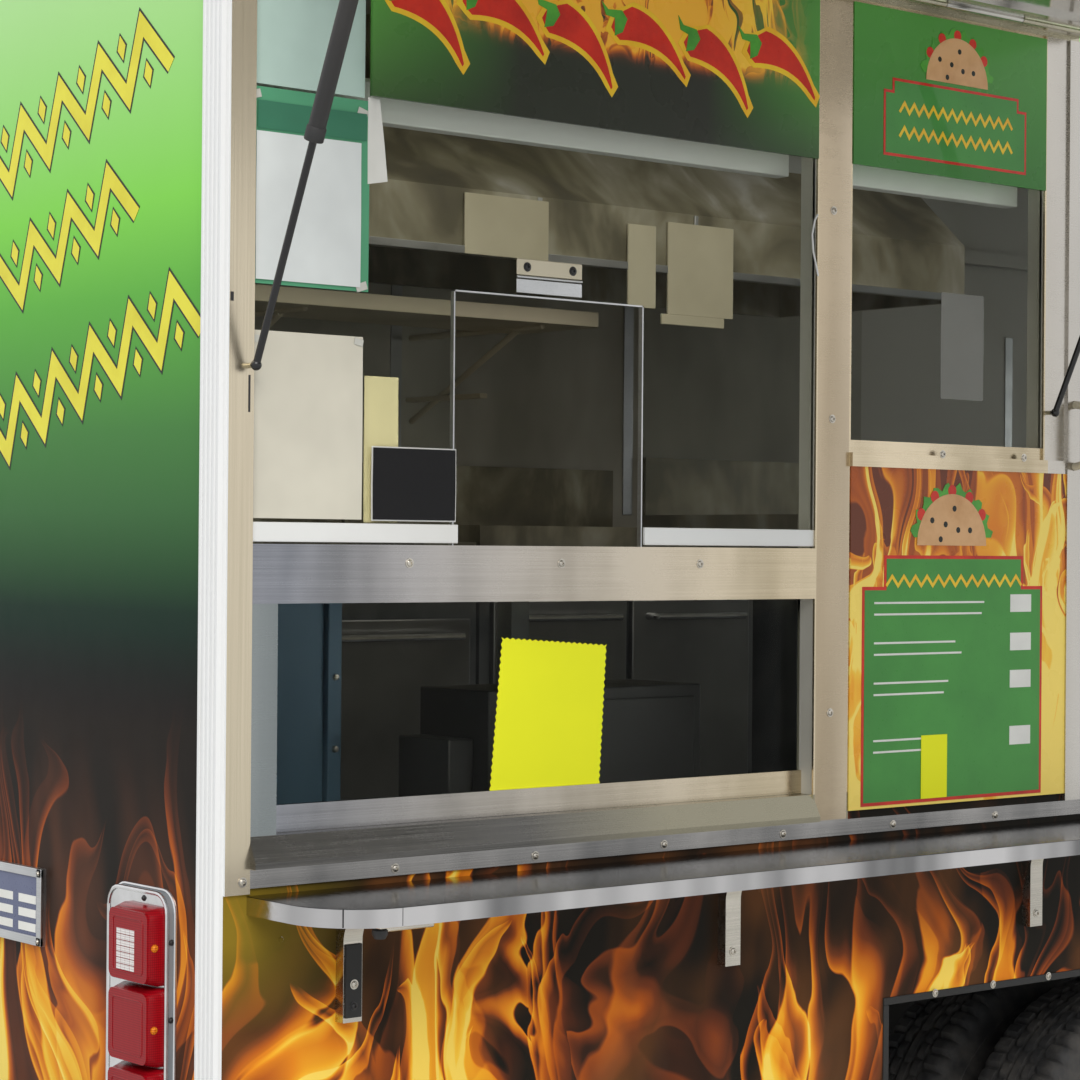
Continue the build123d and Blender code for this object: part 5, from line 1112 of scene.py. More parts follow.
# The placard on the rear wall: a frame and a blank pale plate
PLATE_X, RIM = PLATE_LOW.x, 0.014
y0, y1, z0, z1 = PLATE_LOW.y, PLATE_HIGH.y, PLATE_LOW.z, PLATE_HIGH.z
piece("placard_plate", "slate_blue_plate", "aluminium", box(
    (PLATE_X - 0.0012, y0 + RIM, z0 + RIM), (PLATE_X + 0.001, y1 - RIM, z1 - RIM)
))
piece("placard_fields", "ink_white", "aluminium", *[
    box((PLATE_X - 0.0018, SIDE_Y + inboard, z), (PLATE_X - 0.0008, SIDE_Y + inboard + wide, z + 0.013))
    for inboard, wide in ((0.524, 0.055), (0.598, 0.05), (0.672, 0.055), (0.742, 0.05))
    for z in (1.018, 1.04, 1.062)
], smooth=False)
piece("placard_frame", "aluminium", "aluminium", *[
    box((PLATE_X - 0.004, *low), (PLATE_X + 0.002, *high)) for low, high in (
        ((y0, z0), (y1, z0 + RIM)), ((y0, z1 - RIM), (y1, z1)),
        ((y0, z0), (y0 + RIM, z1)), ((y1 - RIM, z0), (y1, z1)),
    )
], bevel=0.001)
piece("placard_screws", "stainless", "stainless", *[
    screw((PLATE_X - 0.004, y, z), BACK, 0.003)
    for y in (y0 + RIM / 2, y1 - RIM / 2) for z in (z0 + RIM / 2, z1 - RIM / 2)
])

# Shelf brackets, latch, seams, arch strips, rivets, pull handle
piece(
    "bracket_pad", "black_rubber", "black_plastic",
    box(side(0.1995, 0.018, 0.938), side(0.2285, 0.0225, 1.046)), bevel=0.001,
)
piece("bracket_screws", "stainless", "stainless", screw(side(0.214, 0.0225, 0.987), OUT, 0.0055), *[
    screw(side(x, 0.019, 0.965), OUT, 0.006) for x in (0.985, 1.755, 2.24)
])
piece("bracket_dark_screw", "black_enamel", "black_paint", screw(side(0.214, 0.0225, 0.955), OUT, 0.005))
piece(
    "latch_plate", "stainless", "stainless",
    box(side(0.13, 0.165, SHELF_LOW - 0.005), side(0.205, 0.2, SHELF_LOW + 0.0005)),
    tube([side(x, 0.183, SHELF_LOW - 0.008) for x in (0.15, 0.19, 0.235)], 0.0045), bevel=0.001,
)
KNOB = ((0.0, -0.022), (0.008, -0.021), (0.0115, -0.015), (0.0115, -0.009), (0.007, -0.005), (0.007, 0.001))
piece("latch_knob", "black_plastic", "black_plastic", turned(KNOB, side(0.142, 0.183, SHELF_LOW), UP))
low, high = SHELF_LOW + 0.001, SHELF_HIGH - 0.0005
SEAM = ((0.0, 0.0), (0.0011, 0.0), (0.0011, high - low), (0.0, high - low))
piece(
    "shelf_seams", "black_enamel", "black_paint",
    box(side(0.151, 0.2238, low), side(0.1518, 0.2243, high)), turned(SEAM, side(0.0728, 0.1912, low), UP, 8),
    smooth=False,
)
# A slot in the corner strip, and a thin black strip below the first strut's foot.
piece(
    "corner_slot_and_strip", "black_plastic", "black_plastic",
    box(side(0.002, 0.0036, 1.976), side(0.007, 0.0046, 1.989)),
    box(side(0.0335, 0.0036, 1.819), side(0.0365, 0.0046, 1.872)), smooth=False,
)
ARCH_REAR, ARCH_FRONT, ARCH_TOP, ARCH_FOOT, STRIP = 1.38, 2.78, 0.833, 0.482, 0.013
WALLS = ((SIDE_Y, OUT), (LEFT_Y, LEFT))
piece("arch_strip", "black_rubber", "black_plastic", *[
    box((REAR_X + x0, y + out[1] * 0.003, z0), (REAR_X + x1, y - out[1] * 0.012, z1)) for y, out in WALLS
    for x0, x1, z0, z1 in (
        (ARCH_REAR - STRIP, ARCH_FRONT + STRIP, ARCH_TOP, ARCH_TOP + STRIP),
        (ARCH_REAR - STRIP, ARCH_REAR, ARCH_FOOT, ARCH_TOP),
        (ARCH_FRONT, ARCH_FRONT + STRIP, ARCH_FOOT, ARCH_TOP),
    )
], bevel=0.001)
RIVET = ((0.0045, 0), (0.0035, 0.0012), (0.0, 0.0018))
piece("skirt_rivets", "livery", "livery", *[
    turned(RIVET, (REAR_X + x, y, z), out, 8) for x in [0.1 + i * 0.24 for i in range(20)] for z in (0.62, 1.06)
    if z > 0.9 or not ARCH_REAR - 0.1 < x < ARCH_FRONT + 0.1 for y, out in WALLS
])
PULL = ((0.009, 1.787), (0.027, 1.79), (0.033, 1.8), (0.033, 1.89), (0.027, 1.9), (0.009, 1.903))
piece("pull_handle", "cream_enamel", "white_paint", tube([side(1.867, out, z) for out, z in PULL], 0.0075, 12))
piece(
    "inner_header", "white_enamel", "white_paint", box(side(0.06, -0.06, 2.27), side(1.18, -0.09, 2.33)),
    box(side(1.275, -0.06, 2.27), side(1.78, -0.09, 2.33)),
    box(side(0.06, -0.09, 2.325), side(1.78, -0.3, 2.34)),
    bevel=0.002,
)
LOOSE_GASKET = ((1.186, 2.2), (1.179, 2.19), (1.173, 2.165), (1.176, 2.135), (1.184, 2.11), (1.188, 2.095))
piece("loose_gasket", "white_enamel", "white_paint", tube([
    side(x, 0.004, z) for x, z in LOOSE_GASKET
], 0.0016, 8))

# Struts: the collar at each barrel's lower end
STRUT_PIN, STRUT_FOOT, BARREL_LONG = (-1.5033, 2.5466), (-1.204, 1.885), 0.392
COLLAR = (
    (0.0066, -0.02), (0.0133, -0.02), (0.0142, -0.018), (0.0142, -0.001), (0.0133, 0.001), (0.0066, 0.001),
)


@form
def collar(bm, x):
    pin, foot = at(x, *STRUT_PIN), at(x, *STRUT_FOOT)
    down = (foot - pin).normalized()
    turned(COLLAR + COLLAR[:1], pin + down * BARREL_LONG, down, 20)(bm)
    bmesh.ops.remove_doubles(bm, verts=bm.verts, dist=1e-6)


piece("strut_collars", "black_plastic", "black_plastic", collar(0.033), collar(1.792), body="strut_barrels")

# Kitchen behind the glass
piece(
    "kitchen_shelf", "cream_enamel", "stainless", box(at(0.45, 0.56, 2.168), at(2.2, 0.86, 2.178)),
    box(at(0.45, 0.552, 2.168), at(2.2, 0.562, 2.205)), *[one for x in (0.6, 1.35, 2.05) for one in (
        box(at(x, 0.83, 2.0), at(x + 0.025, 1.139, 2.012)),
        tube([at(x + 0.012, 0.6, 2.166), at(x + 0.012, 1.135, 2.166)], 0.008),
        tube([at(x + 0.012, 0.7, 2.16), at(x + 0.012, 1.13, 1.95)], 0.008),
    )], bevel=0.002,
)
# Blank order sheets that hang from the hood's lip
SHEETS = ((1.68, 1.93, 2.3, 2.44), (2.18, 2.27, 2.21, 2.41), (2.31, 2.53, 2.2, 2.425), (2.29, 2.5, 2.175, 2.2))
piece("kitchen_sheets", "order_sheets", "white_paint", *[
    box(at(x0, 0.4235, z0), at(x1, 0.4285, z1)) for x0, x1, z0, z1 in SHEETS
], bevel=0.001)
# Knobs, doors and handles of the cook line: both ends, distance left of the middle and height
KNOB_ROWS = ((0.5, 1.05, 0.52, 1.6), (1.2, 1.77, 0.56, 1.54), (1.92, 2.66, 0.56, 1.58), (2.95, 3.5, 0.52, 1.62))
DOORS = (
    (0.45, 1.09, 0.52, 0.92, 1.52), (1.16, 1.8, 0.56, 0.95, 1.46), (1.87, 2.29, 0.56, 0.95, 1.5),
    (2.31, 2.71, 0.56, 0.95, 1.5), (2.89, 3.57, 0.52, 0.92, 1.54),
)
HANDLES = (
    (0.5, 1.04, 0.502, 1.48), (1.21, 1.75, 0.542, 1.42), (1.92, 2.24, 0.542, 1.46), (2.36, 2.66, 0.542, 1.46),
    (2.94, 3.52, 0.502, 1.5),
)
COOK_KNOB = ((0.0, 0.0), (0.024, 0.0), (0.022, 0.02), (0.016, 0.024), (0.0, 0.025))
piece("kitchen_knobs", "black_plastic", "black_plastic", *[
    turned(COOK_KNOB, at(x0 + (x1 - x0) * i / 4, y, z), OUT, 14) for x0, x1, y, z in KNOB_ROWS for i in range(5)
])
piece("kitchen_doors", "stainless_upright", "stainless", *[
    box(at(x0, y - 0.018, z0), at(x1, y + 0.001, z1)) for x0, x1, y, z0, z1 in DOORS
], bevel=0.003)
piece("kitchen_handles", "chrome", "chrome", *[
    tube([at(x0, y, z), at(x0, y - 0.035, z), at(x1, y - 0.035, z), at(x1, y, z)], 0.009)
    for x0, x1, y, z in HANDLES
])
piece(
    "kitchen_lining", "aluminium", "stainless",
    *[box(at(x, 1.136, 1.72), at(x + 0.035, 1.1395, 2.3)) for x in (0.4, 1.2, 2.0, 2.8, 3.6, 4.4)],
    box(at(0.4, 0.424, 2.3), at(3.4, 0.4295, 2.318)),
    *[box(at(x, 0.4255, 2.318), at(x + 0.012, 0.4295, 2.448)) for x in (0.9, 1.4, 1.9, 2.4, 2.9)], bevel=0.001,
)
piece(
    "counter_post", "blue_steel", "stainless", box(at(0.489, -0.74, 1.19), at(0.517, -0.705, 1.563)),
    box(at(0.07, -0.73, 1.19), at(0.487, -0.712, 1.563)), bevel=0.002,
)
STUD = ((0.0, 0.0), (0.006, 0.0), (0.005, 0.005), (0.0, 0.006))
piece("counter_studs", "stainless", "stainless", *[
    turned(STUD, at(0.503, -0.74, z), OUT, 10) for z in (1.29, 1.41)
])
piece(
    "counter_box", "black_plastic", "black_plastic", box(at(0.68, -0.93, 1.19), at(1.16, -0.74, 1.39)),
    box(at(0.7, -0.936, 1.21), at(1.14, -0.93, 1.37)),
    box(at(0.62, -0.9, 1.19), at(0.672, -0.76, 1.31)), bevel=0.004,
)

# Lamps and markers
SIGNS = (-1, 1)
LAMPS_Y, LAMPS_Z = (-0.74, 0.74), 0.92
MARKERS_Y = (-0.95, -0.16, 0.0, 0.16, 0.95)
# The roof's front markers: the outer two stand further back
FRONT_MARKERS = tuple(zip((6.111, 6.146, 6.146, 6.146, 6.111), MARKERS_Y))
LENS_PROFILE = [(0.0, -0.002), (0.079, -0.002), (0.079, 0.002)]
LENS_PROFILE += [(0.079 * math.cos(a), 0.002 + 0.014 * math.sin(a)) for a in (0.3, 0.6, 0.9, 1.2)]
LENS_PROFILE += [(0.0, 0.016)]
RING = [k * math.pi / 18 for k in range(37)]
REFLECTOR = ((0.0, -0.001), (0.038, -0.001), (0.038, 0.004), (0.033, 0.008), (0.0, 0.009))
piece("headlamp_lenses", "headlamp_glass", "glass", *[
    turned(LENS_PROFILE, at(6.904, y, LAMPS_Z), (1, 0, 0), 36) for y in LAMPS_Y
])
piece("headlamp_rings", "chrome", "chrome", *[one for y in LAMPS_Y for one in (
    *[tube([at(x, y + r * math.cos(a), LAMPS_Z + r * math.sin(a)) for a in RING], thick, 8)
      for r, x, thick in ((0.0965, 6.9125, 0.0065), (0.082, 6.9075, 0.003))],
    tube([at(6.9195, y - 0.004, LAMPS_Z), at(6.9195, y + 0.004, LAMPS_Z)], 0.016, 16),
)])
piece(
    "turn_lamps", "amber_lens", "red_lens",
    *[box(at(6.898, y - 0.07, 0.745), at(6.914, y + 0.07, 0.79)) for y in LAMPS_Y],
    *[box(at(x, y - 0.032, 2.914), at(x + 0.022, y + 0.032, 2.94)) for x, y in FRONT_MARKERS],
    bevel=0.004,
)
piece(
    "red_markers", "red_lens", "red_lens",
    *[box(at(-0.02, y - 0.032, 2.832), at(0.001, y + 0.032, 2.858)) for y in MARKERS_Y],
    box(at(0.22, 1.179, 1.045), at(0.3, 1.196, 1.075)),
    *[turned(REFLECTOR, at(0.0, y, 0.685), BACK, 20) for y in (-0.8, 0.8)], bevel=0.003,
)
piece(
    "marker_bases", "black_plastic", "black_plastic",
    *[box(at(-0.006, y - 0.042, 2.825), at(0.001, y + 0.042, 2.865)) for y in MARKERS_Y],
    *[box(at(6.898, y - 0.077, 0.738), at(6.905, y + 0.077, 0.797)) for y in LAMPS_Y], bevel=0.001,
)


# Windscreen, quarter windows and wipers
def on_screen(y, z, out):
    """A point on the leaning windscreen, by its distance left of the middle and its height."""
    return at(6.48 - (z - 1.5) * 0.2357 + out, y, z + 0.23 * out)


def cut_corners(corners, cut):
    """An outline with each corner cut off."""
    points = []
    for i, corner in enumerate(corners):
        here, before, after = (Vector(corners[k % len(corners)]) for k in (i, i - 1, i + 1))
        points += [here + (before - here).normalized() * cut, here + (after - here).normalized() * cut]
    return points


QUARTER = cut_corners(((5.79, 1.615), (6.17, 1.615), (5.985, 2.4), (5.79, 2.4)), 0.016)
PIVOT = ((0.0, -0.002), (0.02, -0.002), (0.016, 0.016), (0.0, 0.02))
piece(
    "screen_rubbers", "black_rubber", "black_plastic",
    *[loop([on_screen(u, v, 0.001) for u, v in rounded(y0, y1, 1.575, 2.44, 0.014)], 0.011)
      for y0, y1 in ((0.025, 0.96), (-0.96, -0.025))],
    *[loop([at(u, y, v) for u, v in QUARTER], 0.009) for y in (-1.181, 1.181)],
)
piece("wipers", "black_enamel", "black_paint", *[one for s in SIGNS for one in (
    turned(PIVOT, on_screen(s * 0.84, 1.548, 0.006), (1, 0, 0.236), 14),
    tube([
        on_screen(s * y, z, out) for y, z, out in ((0.84, 1.548, 0.02), (0.62, 1.575, 0.03), (0.42, 1.6, 0.026))
    ], 0.0055, 8),
    tube([on_screen(s * (0.14 + 0.14 * k), 1.592 + 0.008 * k, 0.014) for k in range(5)], 0.0065, 8),
    tube([on_screen(s * (0.24 + 0.18 * k), 1.598 + 0.01 * k, 0.024) for k in range(3)], 0.004, 8),
)])

# Cab doors and mirrors
DISH = ((0.05, 0.0), (0.05, 0.003), (0.042, 0.0035), (0.038, 0.001), (0.0, 0.0006))
LOCK = ((0.0, 0.0), (0.014, 0.0), (0.013, 0.003), (0.0, 0.0035))
for name, s in (("door_right", -1), ("door_left", 1)):
    rubber = [at(u, s * 1.134, v) for u, v in rounded(5.015, 5.595, 1.5, 2.37, 0.014)]
    piece(name + "_rubber", "black_rubber", "black_plastic", loop(rubber, 0.0045), body=name)
    piece(
        name + "_pull", "chrome", "chrome", turned(DISH, at(5.61, s * 1.134, 1.3), (0, s, 0), 28),
        turned(LOCK, at(5.61, s * 1.134, 1.19), (0, s, 0), 16),
        box(at(5.585, s * 1.1345, 1.293), at(5.635, s * 1.138, 1.307)), body=name,
    )
piece("mirror_glass", "chrome", "mirror_steel", *[
    box(at(5.7875, s * 1.258, 1.778), at(5.791, s * 1.402, 2.122)) for s in SIGNS
], bevel=0.004)
piece("mirror_clamps", "black_enamel", "black_paint", *[
    tube([at(5.8, s * 1.19, z), at(5.8, s * 1.26, z)], 0.0145, 12) for s in SIGNS for z in (1.8, 2.1)
])

# Rear door, number plate, roof and canopy. Strips on the rear: ends left of the middle, and heights
CYLINDER = ((0.0, 0.0), (0.016, 0.0), (0.014, 0.006), (0.0, 0.008))
PLATE_RIM = (
    (0.122, 0.443, 0.853, 0.862), (0.122, 0.443, 1.01, 1.019),
    (0.122, 0.132, 0.853, 1.019), (0.433, 0.443, 0.853, 1.019),
)
SEAL = (
    (-0.145, -0.132, 0.79, 2.762), (0.68, 0.692, 0.79, 2.762),
    (-0.145, 0.692, 2.752, 2.764), (-0.145, 0.692, 0.786, 0.798),
)
SEAMS_X = (0.62, 1.24, 2.6, 3.3, 4.0, 4.7, 5.4)
piece(
    "rear_door_lock", "stainless", "stainless", turned(CYLINDER, at(-0.0005, -0.072, 1.24), BACK, 16),
    *[screw(at(-0.008, 0.605, z + dz), BACK, 0.004) for z in (1.0, 1.775, 2.55) for dz in (-0.025, 0.025)],
    body="rear_door",
)
piece(
    "number_plate", "white_enamel", "white_paint", box(at(-0.003, 0.13, 0.86), at(0.0005, 0.435, 1.012)),
    body="rear_door", bevel=0.001,
)
piece(
    "number_plate_frame", "black_enamel", "black_paint",
    *[box(at(-0.006, y0, z0), at(0.0005, y1, z1)) for y0, y1, z0, z1 in PLATE_RIM],
    box(at(-0.03, 0.24, 1.03), at(0.0, 0.325, 1.052)), body="rear_door", bevel=0.0015,
)
CANOPY_TURN = math.radians(85)
CANOPY_UP = (0, -math.cos(CANOPY_TURN), math.sin(CANOPY_TURN))


def canopy_spot(x, down, lift):
    """A point over the canopy's outer sheet, from its distance down the sheet and its height off it."""
    out = 0.03 + lift
    y = -1.225 - down * math.sin(CANOPY_TURN) - out * math.cos(CANOPY_TURN)
    z = 2.59 - down * math.cos(CANOPY_TURN) + out * math.sin(CANOPY_TURN)
    return at(x, y, z)


@form
def batten(bm, x0, x1, d0, d1):
    v = [bm.verts.new(canopy_spot(x, d, h)) for h in (-0.0005, 0.0016) for d in (d0, d1) for x in (x0, x1)]
    for turn in ((0, 2, 3, 1), (4, 5, 7, 6), (0, 1, 5, 4), (2, 6, 7, 3), (0, 4, 6, 2), (1, 3, 7, 5)):
        bm.faces.new([v[i] for i in turn])


HEAD = ((0.0055, 0.0), (0.004, 0.0014), (0.0, 0.0019))
ROOF_HEAD = ((0.006, 0.0), (0.004, 0.002), (0.0, 0.0026))
SPOTS = [(x, 0.1 + 0.1 * k) for x in (0.039, 0.644, 1.246, 1.851) for k in range(13)]
SPOTS += [(0.039 + 0.1208 * k, down) for down in (0.045, 1.373) for k in range(16)]
piece(
    "canopy_battens", "aluminium", "aluminium",
    *[batten(x - 0.02, x + 0.02, 0.06, 1.358) for x in (0.644, 1.246)],
    *[batten(x, x + 0.03, 0.06, 1.358) for x in (0.024, 1.836)],
    *[batten(0.024, 1.866, down, down + 0.03) for down in (0.03, 1.358)], body="canopy",
)
piece("canopy_rivets", "aluminium", "chrome", *[
    turned(HEAD, canopy_spot(x, down, 0.0014), CANOPY_UP, 8) for x, down in SPOTS
], body="canopy")
piece("door_seal", "black_rubber", "black_plastic", *[
    box(at(-0.0035, y0, z0), at(0.0, y1, z1)) for y0, y1, z0, z1 in SEAL
], bevel=0.001)
piece(
    "rain_strips", "aluminium", "aluminium",
    tube([at(-0.006, -0.17, 2.775), at(-0.006, 0.27, 2.785), at(-0.006, 0.72, 2.775)], 0.008, 8),
    *[box(at(0.02, s * 1.179, 2.89), at(5.7, s * 1.19, 2.902)) for s in SIGNS], bevel=0.002,
)
piece("roof_battens", "white_enamel", "white_paint", *[
    box(at(x - 0.022, -1.1, 2.9895), at(x + 0.022, 1.1, 2.9935)) for x in SEAMS_X
], bevel=0.0015)
piece("roof_rivets", "aluminium", "aluminium", *[
    turned(ROOF_HEAD, at(x, -1.05 + 0.15 * k, 2.9935), UP, 8) for x in SEAMS_X for k in range(15)
])
LOUVRE = ((0.189, -0.004), (0.199, -0.008), (0.2, -0.006), (0.189, 0.004))
BOLT = ((0.0, 0.0), (0.011, 0.0), (0.011, 0.007), (0.0, 0.008))
piece(
    "roof_fan_rings", "aluminium", "aluminium",
    *[turned(LOUVRE, at(2.0, 0.88, z), UP, 40) for z in (3.1, 3.13, 3.16, 3.19)],
    *[turned(BOLT, at(x, y, 3.0798), UP, 6) for x in (1.82, 2.18) for y in (0.73, 1.03)],
)

# Left side: a louvred compartment door and the fuel cap. Rear step
HATCH_LOCK = ((0.0, 0.0), (0.016, 0.0), (0.016, 0.004), (0.01, 0.009), (0.0, 0.01))
FLANGE = ((0.0, 0.0), (0.075, 0.0), (0.075, 0.004), (0.06, 0.006), (0.055, 0.003), (0.0, 0.003))
FUEL_CAP = ((0.0, 0.002), (0.042, 0.002), (0.04, 0.022), (0.03, 0.026), (0.0, 0.027))
piece("side_hatch", "livery", "livery", box(at(0.28, 1.1795, 0.6), at(1.08, 1.1835, 1.08)), *[
    plate(((0.0, z), (0.0, z + 0.02), (0.01, z)), 0.4, 0.96, lambda u, v, w: at(w, 1.183 + u, v))
    for z in [0.7 + 0.036 * k for k in range(8)]
], bevel=0.001)
piece(
    "side_hatch_hinge", "stainless", "stainless",
    tube([at(0.3, 1.186, 1.083), at(1.06, 1.186, 1.083)], 0.005),
    turned(HATCH_LOCK, at(0.68, 1.1835, 0.635), LEFT, 18),
)
piece(
    "fuel_cap", "aluminium", "aluminium", turned(FLANGE, at(3.5, 1.1798, 0.86), LEFT, 30),
    turned(FUEL_CAP, at(3.5, 1.18, 0.86), LEFT, 24),
    box(at(3.468, 1.2, 0.854), at(3.532, 1.213, 0.866)), bevel=0.001,
)
piece("step_bars", "step_steel", "black_paint", *[
    box(at(x, -1.08, 0.6295), at(x + 0.009, 1.08, 0.6325)) for x in [-0.15 + 0.026 * k for k in range(5)]
], bevel=0.001)

# Wheel nuts and hub caps: body, a tyre on its axle, side, and how far out the disc and the hub end
HUBS = (
    ("wheel_front_right", "tyre_front_right", -1, 1.034, 1.064),
    ("wheel_front_left", "tyre_front_right", 1, 1.034, 1.064),
    ("wheels_rear_right", "tyres_rear_right", -1, 0.9075, 1.06),
    ("wheels_rear_left", "tyres_rear_right", 1, 0.9075, 1.06),
)
NUT = ((0.0, 0.0), (0.0135, 0.0), (0.0135, 0.017), (0.009, 0.021), (0.0, 0.021))
CAP = ((0.0, -0.001), (0.036, -0.001), (0.036, 0.004), (0.032, 0.009), (0.02, 0.013), (0.0, 0.015))
NUT_CIRCLE, NUTS = 0.095, 8
NUT_TURNS = [2 * math.pi * (k + 0.5) / NUTS for k in range(NUTS)]
for body, node, s, face, end in HUBS:
    axis = Vector((0, s, 0))
    hub = Vector((middle(node, 0), MIDDLE_Y, TYRE_R))
    piece(body + "_nuts", "stainless", "stainless", *[
        turned(NUT, hub + NUT_CIRCLE * Vector((math.cos(turn), 0, math.sin(turn))) + axis * face, axis, 6)
        for turn in NUT_TURNS
    ], body=body)
    piece(body + "_hub_cap", "hub_enamel", "wheel_paint", turned(CAP, hub + axis * end, axis, 24), body=body)


# The driver's seat, sewn vinyl over foam
@form
def pad(bm, half, place):
    """A crowned pad with rounded edges and sewn lines over its broad face."""
    power, crown, sewn, edge_sewn, seam_wide, seam_deep = 7, 0.008, (-0.5, 0.0, 0.5), 0.78, 0.035, 0.006
    bmesh.ops.create_cube(bm, size=2.0)
    bmesh.ops.subdivide_edges(bm, edges=bm.edges[:], cuts=22, use_grid_fill=True)
    for v in bm.verts:
        x, y, z = v.co
        reach = (abs(x) ** power + abs(y) ** power + abs(z) ** power) ** (1 / power)
        x, y, z = x / reach, y / reach, z / reach
        swell = crown * (1 - x * x) * (1 - y * y) * (1 if z > 0 else 0.0)
        dip = sum(math.exp(-(((y - line) / seam_wide) ** 2)) for line in sewn)
        dip += math.exp(-(((abs(x) - edge_sewn) / seam_wide) ** 2)) if abs(y) < 0.8 else 0.0
        dip *= seam_deep if z > 0.2 else 0.0
        pull = 1 - 0.05 * (1 - y * y) * x * x
        v.co = Vector((x * half[0] * pull, y * half[1], z * half[2] + swell - dip))
    bmesh.ops.transform(bm, matrix=place, verts=bm.verts)


CUSHION_PLACE = Matrix.Translation(at(5.365, 0.535, 1.176))
BACK_PLACE = Matrix.Translation(at(5.134, 0.535, 1.535)) @ Matrix.Rotation(math.radians(90), 4, "Y")
cushion = piece("seat_cushion", "seat_vinyl", "seat", pad((0.235, 0.204, 0.056), CUSHION_PLACE))
back = piece("seat_back", "seat_vinyl", "seat", pad((0.295, 0.204, 0.046), BACK_PLACE))
pedestal = piece(
    "seat_pedestal", "black_enamel", "black_paint", box(at(5.2, 0.41, 0.8), at(5.5, 0.66, 1.1)),
    box(at(5.16, 0.37, 1.1), at(5.56, 0.7, 1.122)),
    *[box(at(5.15, y - 0.012, 0.8), at(5.55, y + 0.012, 0.815)) for y in (0.4, 0.67)],
    box(at(5.085, 0.42, 1.1), at(5.1, 0.65, 1.5)), bevel=0.003,
)
piece("seat_piping", "black_rubber", "seat", *[
    tube([at(5.14 + 0.045 * k, y, 1.176) for k in range(11)], 0.0035, 8) for y in (0.3335, 0.7365)
])
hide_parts("driver_seat")
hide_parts("driver_seat")
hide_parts("driver_seat")

# Dashboard: instrument hood and dials
COWL = ((5.93, 1.43), (6.1, 1.47), (6.08, 1.483), (5.95, 1.483), (5.925, 1.462))
piece("dash_hood", "black_plastic", "black_plastic", plate(
    COWL, 0.345, 0.725, lambda u, v, w: at(u, w, v)
), bevel=0.004)
piece("dash_dials", "aluminium", "aluminium", *[
    turned((
        (r, -0.002), (r, 0.003), (r * 0.9, 0.0035), (r * 0.88, 0.001), (0.0, 0.001)
    ), at(5.938, y, 1.375), BACK, 24)
    for y, r in ((0.46, 0.045), (0.6, 0.045), (0.38, 0.022), (0.69, 0.022))
])

# Tyres with tread and moulded walls, in place of the plain ones
TYRE_ROWS = (
    ("tyre_front_right", "wheel_front_right"), ("tyre_front_left", "wheel_front_left"),
    ("tyres_rear_right", "wheels_rear_right"), ("tyres_rear_left", "wheels_rear_left"),
)
TYRE_HALF, TWIN_WIDE, STEPS = 0.107, 0.3, 256
# Half of a tyre's section as (radius, distance from the middle), from the tread's middle to the bead
TREAD = [0.0, 0.008, 0.009, 0.017, 0.018, 0.034, 0.035, 0.044, 0.045, 0.062, 0.07]
HALF_SECTION = [(TYRE_R, y) for y in TREAD] + [
    (TYRE_R - 0.004, 0.079), (TYRE_R - 0.0125, 0.088), (0.366, 0.0925), (0.352, 0.0965), (0.335, 0.1015),
    (0.334, 0.1028), (0.329, 0.1032), (0.328, 0.1022), (0.3, 0.1062), (0.28, 0.1055), (0.262, 0.1022),
    (0.261, 0.1032), (0.254, 0.101), (0.245, 0.098), (0.232, 0.0915), (0.222, 0.084),
]
SECTION = [(r, -y) for r, y in reversed(HALF_SECTION[1:])] + HALF_SECTION


def groove(y, step):
    """How deep the tread is cut at a distance from its middle and a step round it."""
    if 0.0085 <= y <= 0.0175 or 0.0345 <= y <= 0.0445:
        return 0.009
    if y > 0.0445 and step % 4 == 0:
        return 0.008
    if 0.0175 < y < 0.0345 and step % 4 == 2:
        return 0.006
    if y < 0.0085 and step % 8 == 1:
        return 0.004
    return 0.0


@form
def tyre(bm, centre):
    grid = []
    for step in range(STEPS):
        points = []
        for r, y in SECTION:
            rad = r - (groove(abs(y), step) if r > TYRE_R - 0.013 and abs(y) < 0.0895 else 0.0)
            turn = 2 * math.pi * (step + (0.5 if y < 0 else 0)) / STEPS
            points.append(bm.verts.new(centre + Vector((rad * math.sin(turn), y, rad * math.cos(turn)))))
        grid.append(points)
    for a, b in zip(grid, grid[1:] + grid[:1]):
        bridge(bm, a, b)


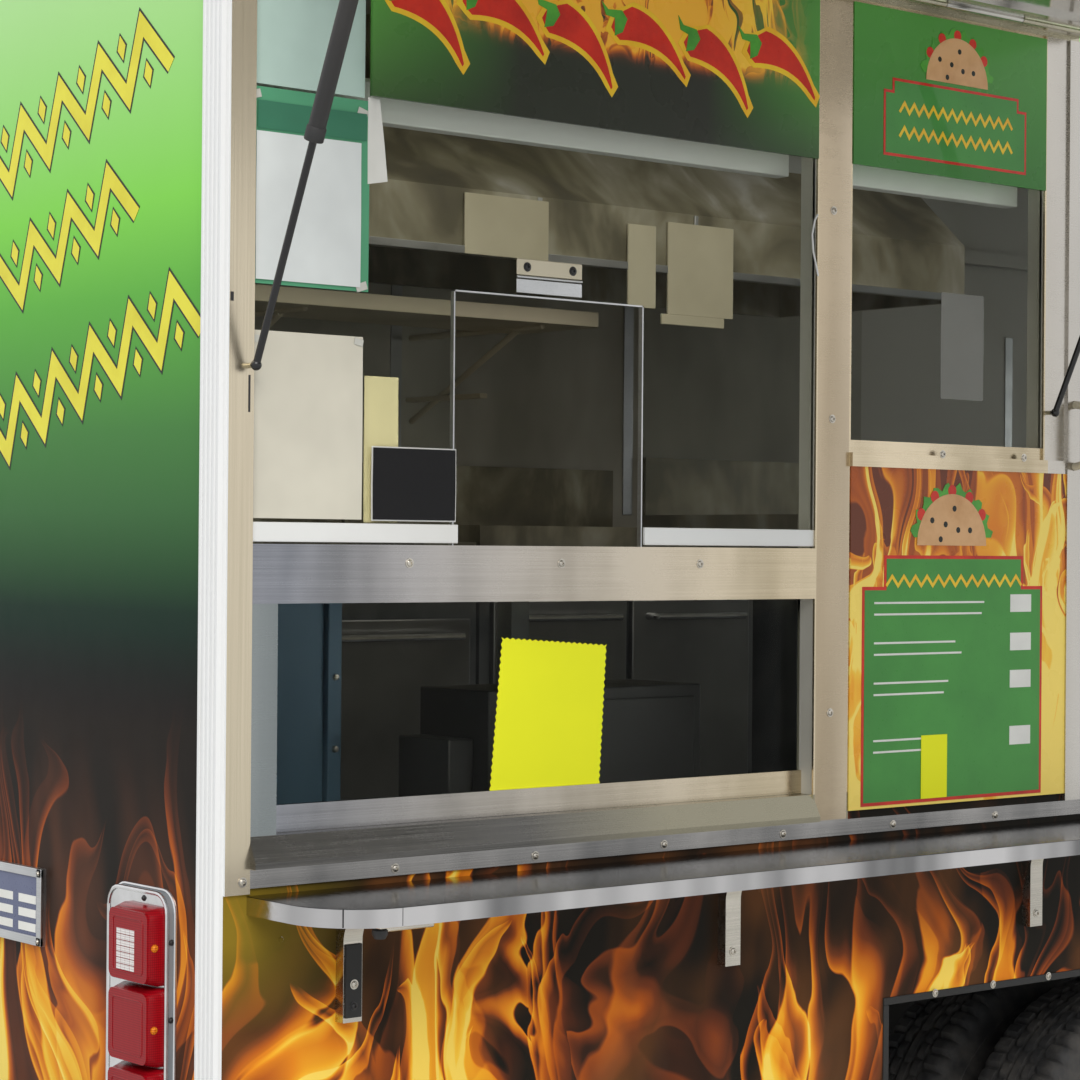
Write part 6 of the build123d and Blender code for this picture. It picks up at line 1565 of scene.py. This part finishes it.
for node, body in TYRE_ROWS:
    x, z = middle(node, 0), middle(node, 2)
    low, high = (corner.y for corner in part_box(node))
    centres = [low + TYRE_HALF, high - TYRE_HALF] if high - low > TWIN_WIDE else [(low + high) / 2]
    obj = piece(node + "_tread", "tyre_rubber", "tyre", *[tyre(Vector((x, y, z))) for y in centres], body=body)
    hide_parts(node)

# Floor, backdrop and light
REACH = 600
material("stage").surface(Base_Color=(0.82, 0.82, 0.81), Roughness=0.9)
mesh = bpy.data.meshes.new("stage_floor")
mesh.from_pydata([(x, y, 0) for x, y in rect(-REACH, REACH, -REACH, REACH)], [], [(0, 1, 2, 3)])
mesh.materials.append(MATERIALS["stage"])
floor = bpy.data.objects.new("stage_floor", mesh)
scene.collection.objects.link(floor)

world = bpy.data.worlds.new("world")
scene.world = world
g = Graph(world)
sky = g.tree.nodes["Background"]
g.put(sky.inputs["Color"], (0.93, 0.96, 1.0))
g.put(sky.inputs["Strength"], 0.62)
white = g.value("Background", 0, {"Color": (1.0, 1.0, 1.0), "Strength": 1.0})
rays = g.node("LightPath").outputs
direct, glossy, through = (
    Value(g, rays[name]) for name in ("Is Camera Ray", "Is Glossy Ray", "Is Transmission Ray")
)
seen = direct.math("MAXIMUM", glossy).math("MAXIMUM", through)
backdrop = g.value("MixShader", 0, {0: seen, 1: Value(g, sky.outputs[0]), 2: white})
g.put(g.tree.nodes["World Output"].inputs["Surface"], backdrop)


def lamp(name, kind, energy, colour, **settings):
    light = bpy.data.lights.new(name, kind)
    light.energy = energy
    light.color = colour
    for key, value in settings.items():
        setattr(light, key, value)
    obj = bpy.data.objects.new(name, light)
    scene.collection.objects.link(obj)
    return obj


kitchen_lamp = lamp("kitchen_lamp", "AREA", 11, (1.0, 0.95, 0.86), shape="RECTANGLE", size=3.0, size_y=0.5)
kitchen_lamp.location = at(1.9, -0.35, 2.86)
sun = lamp("sun", "SUN", 1.9, (1.0, 0.96, 0.9), angle=math.radians(40))
sun.rotation_euler = (math.radians(48), 0, math.radians(-35))

scene.view_settings.view_transform = "Standard"
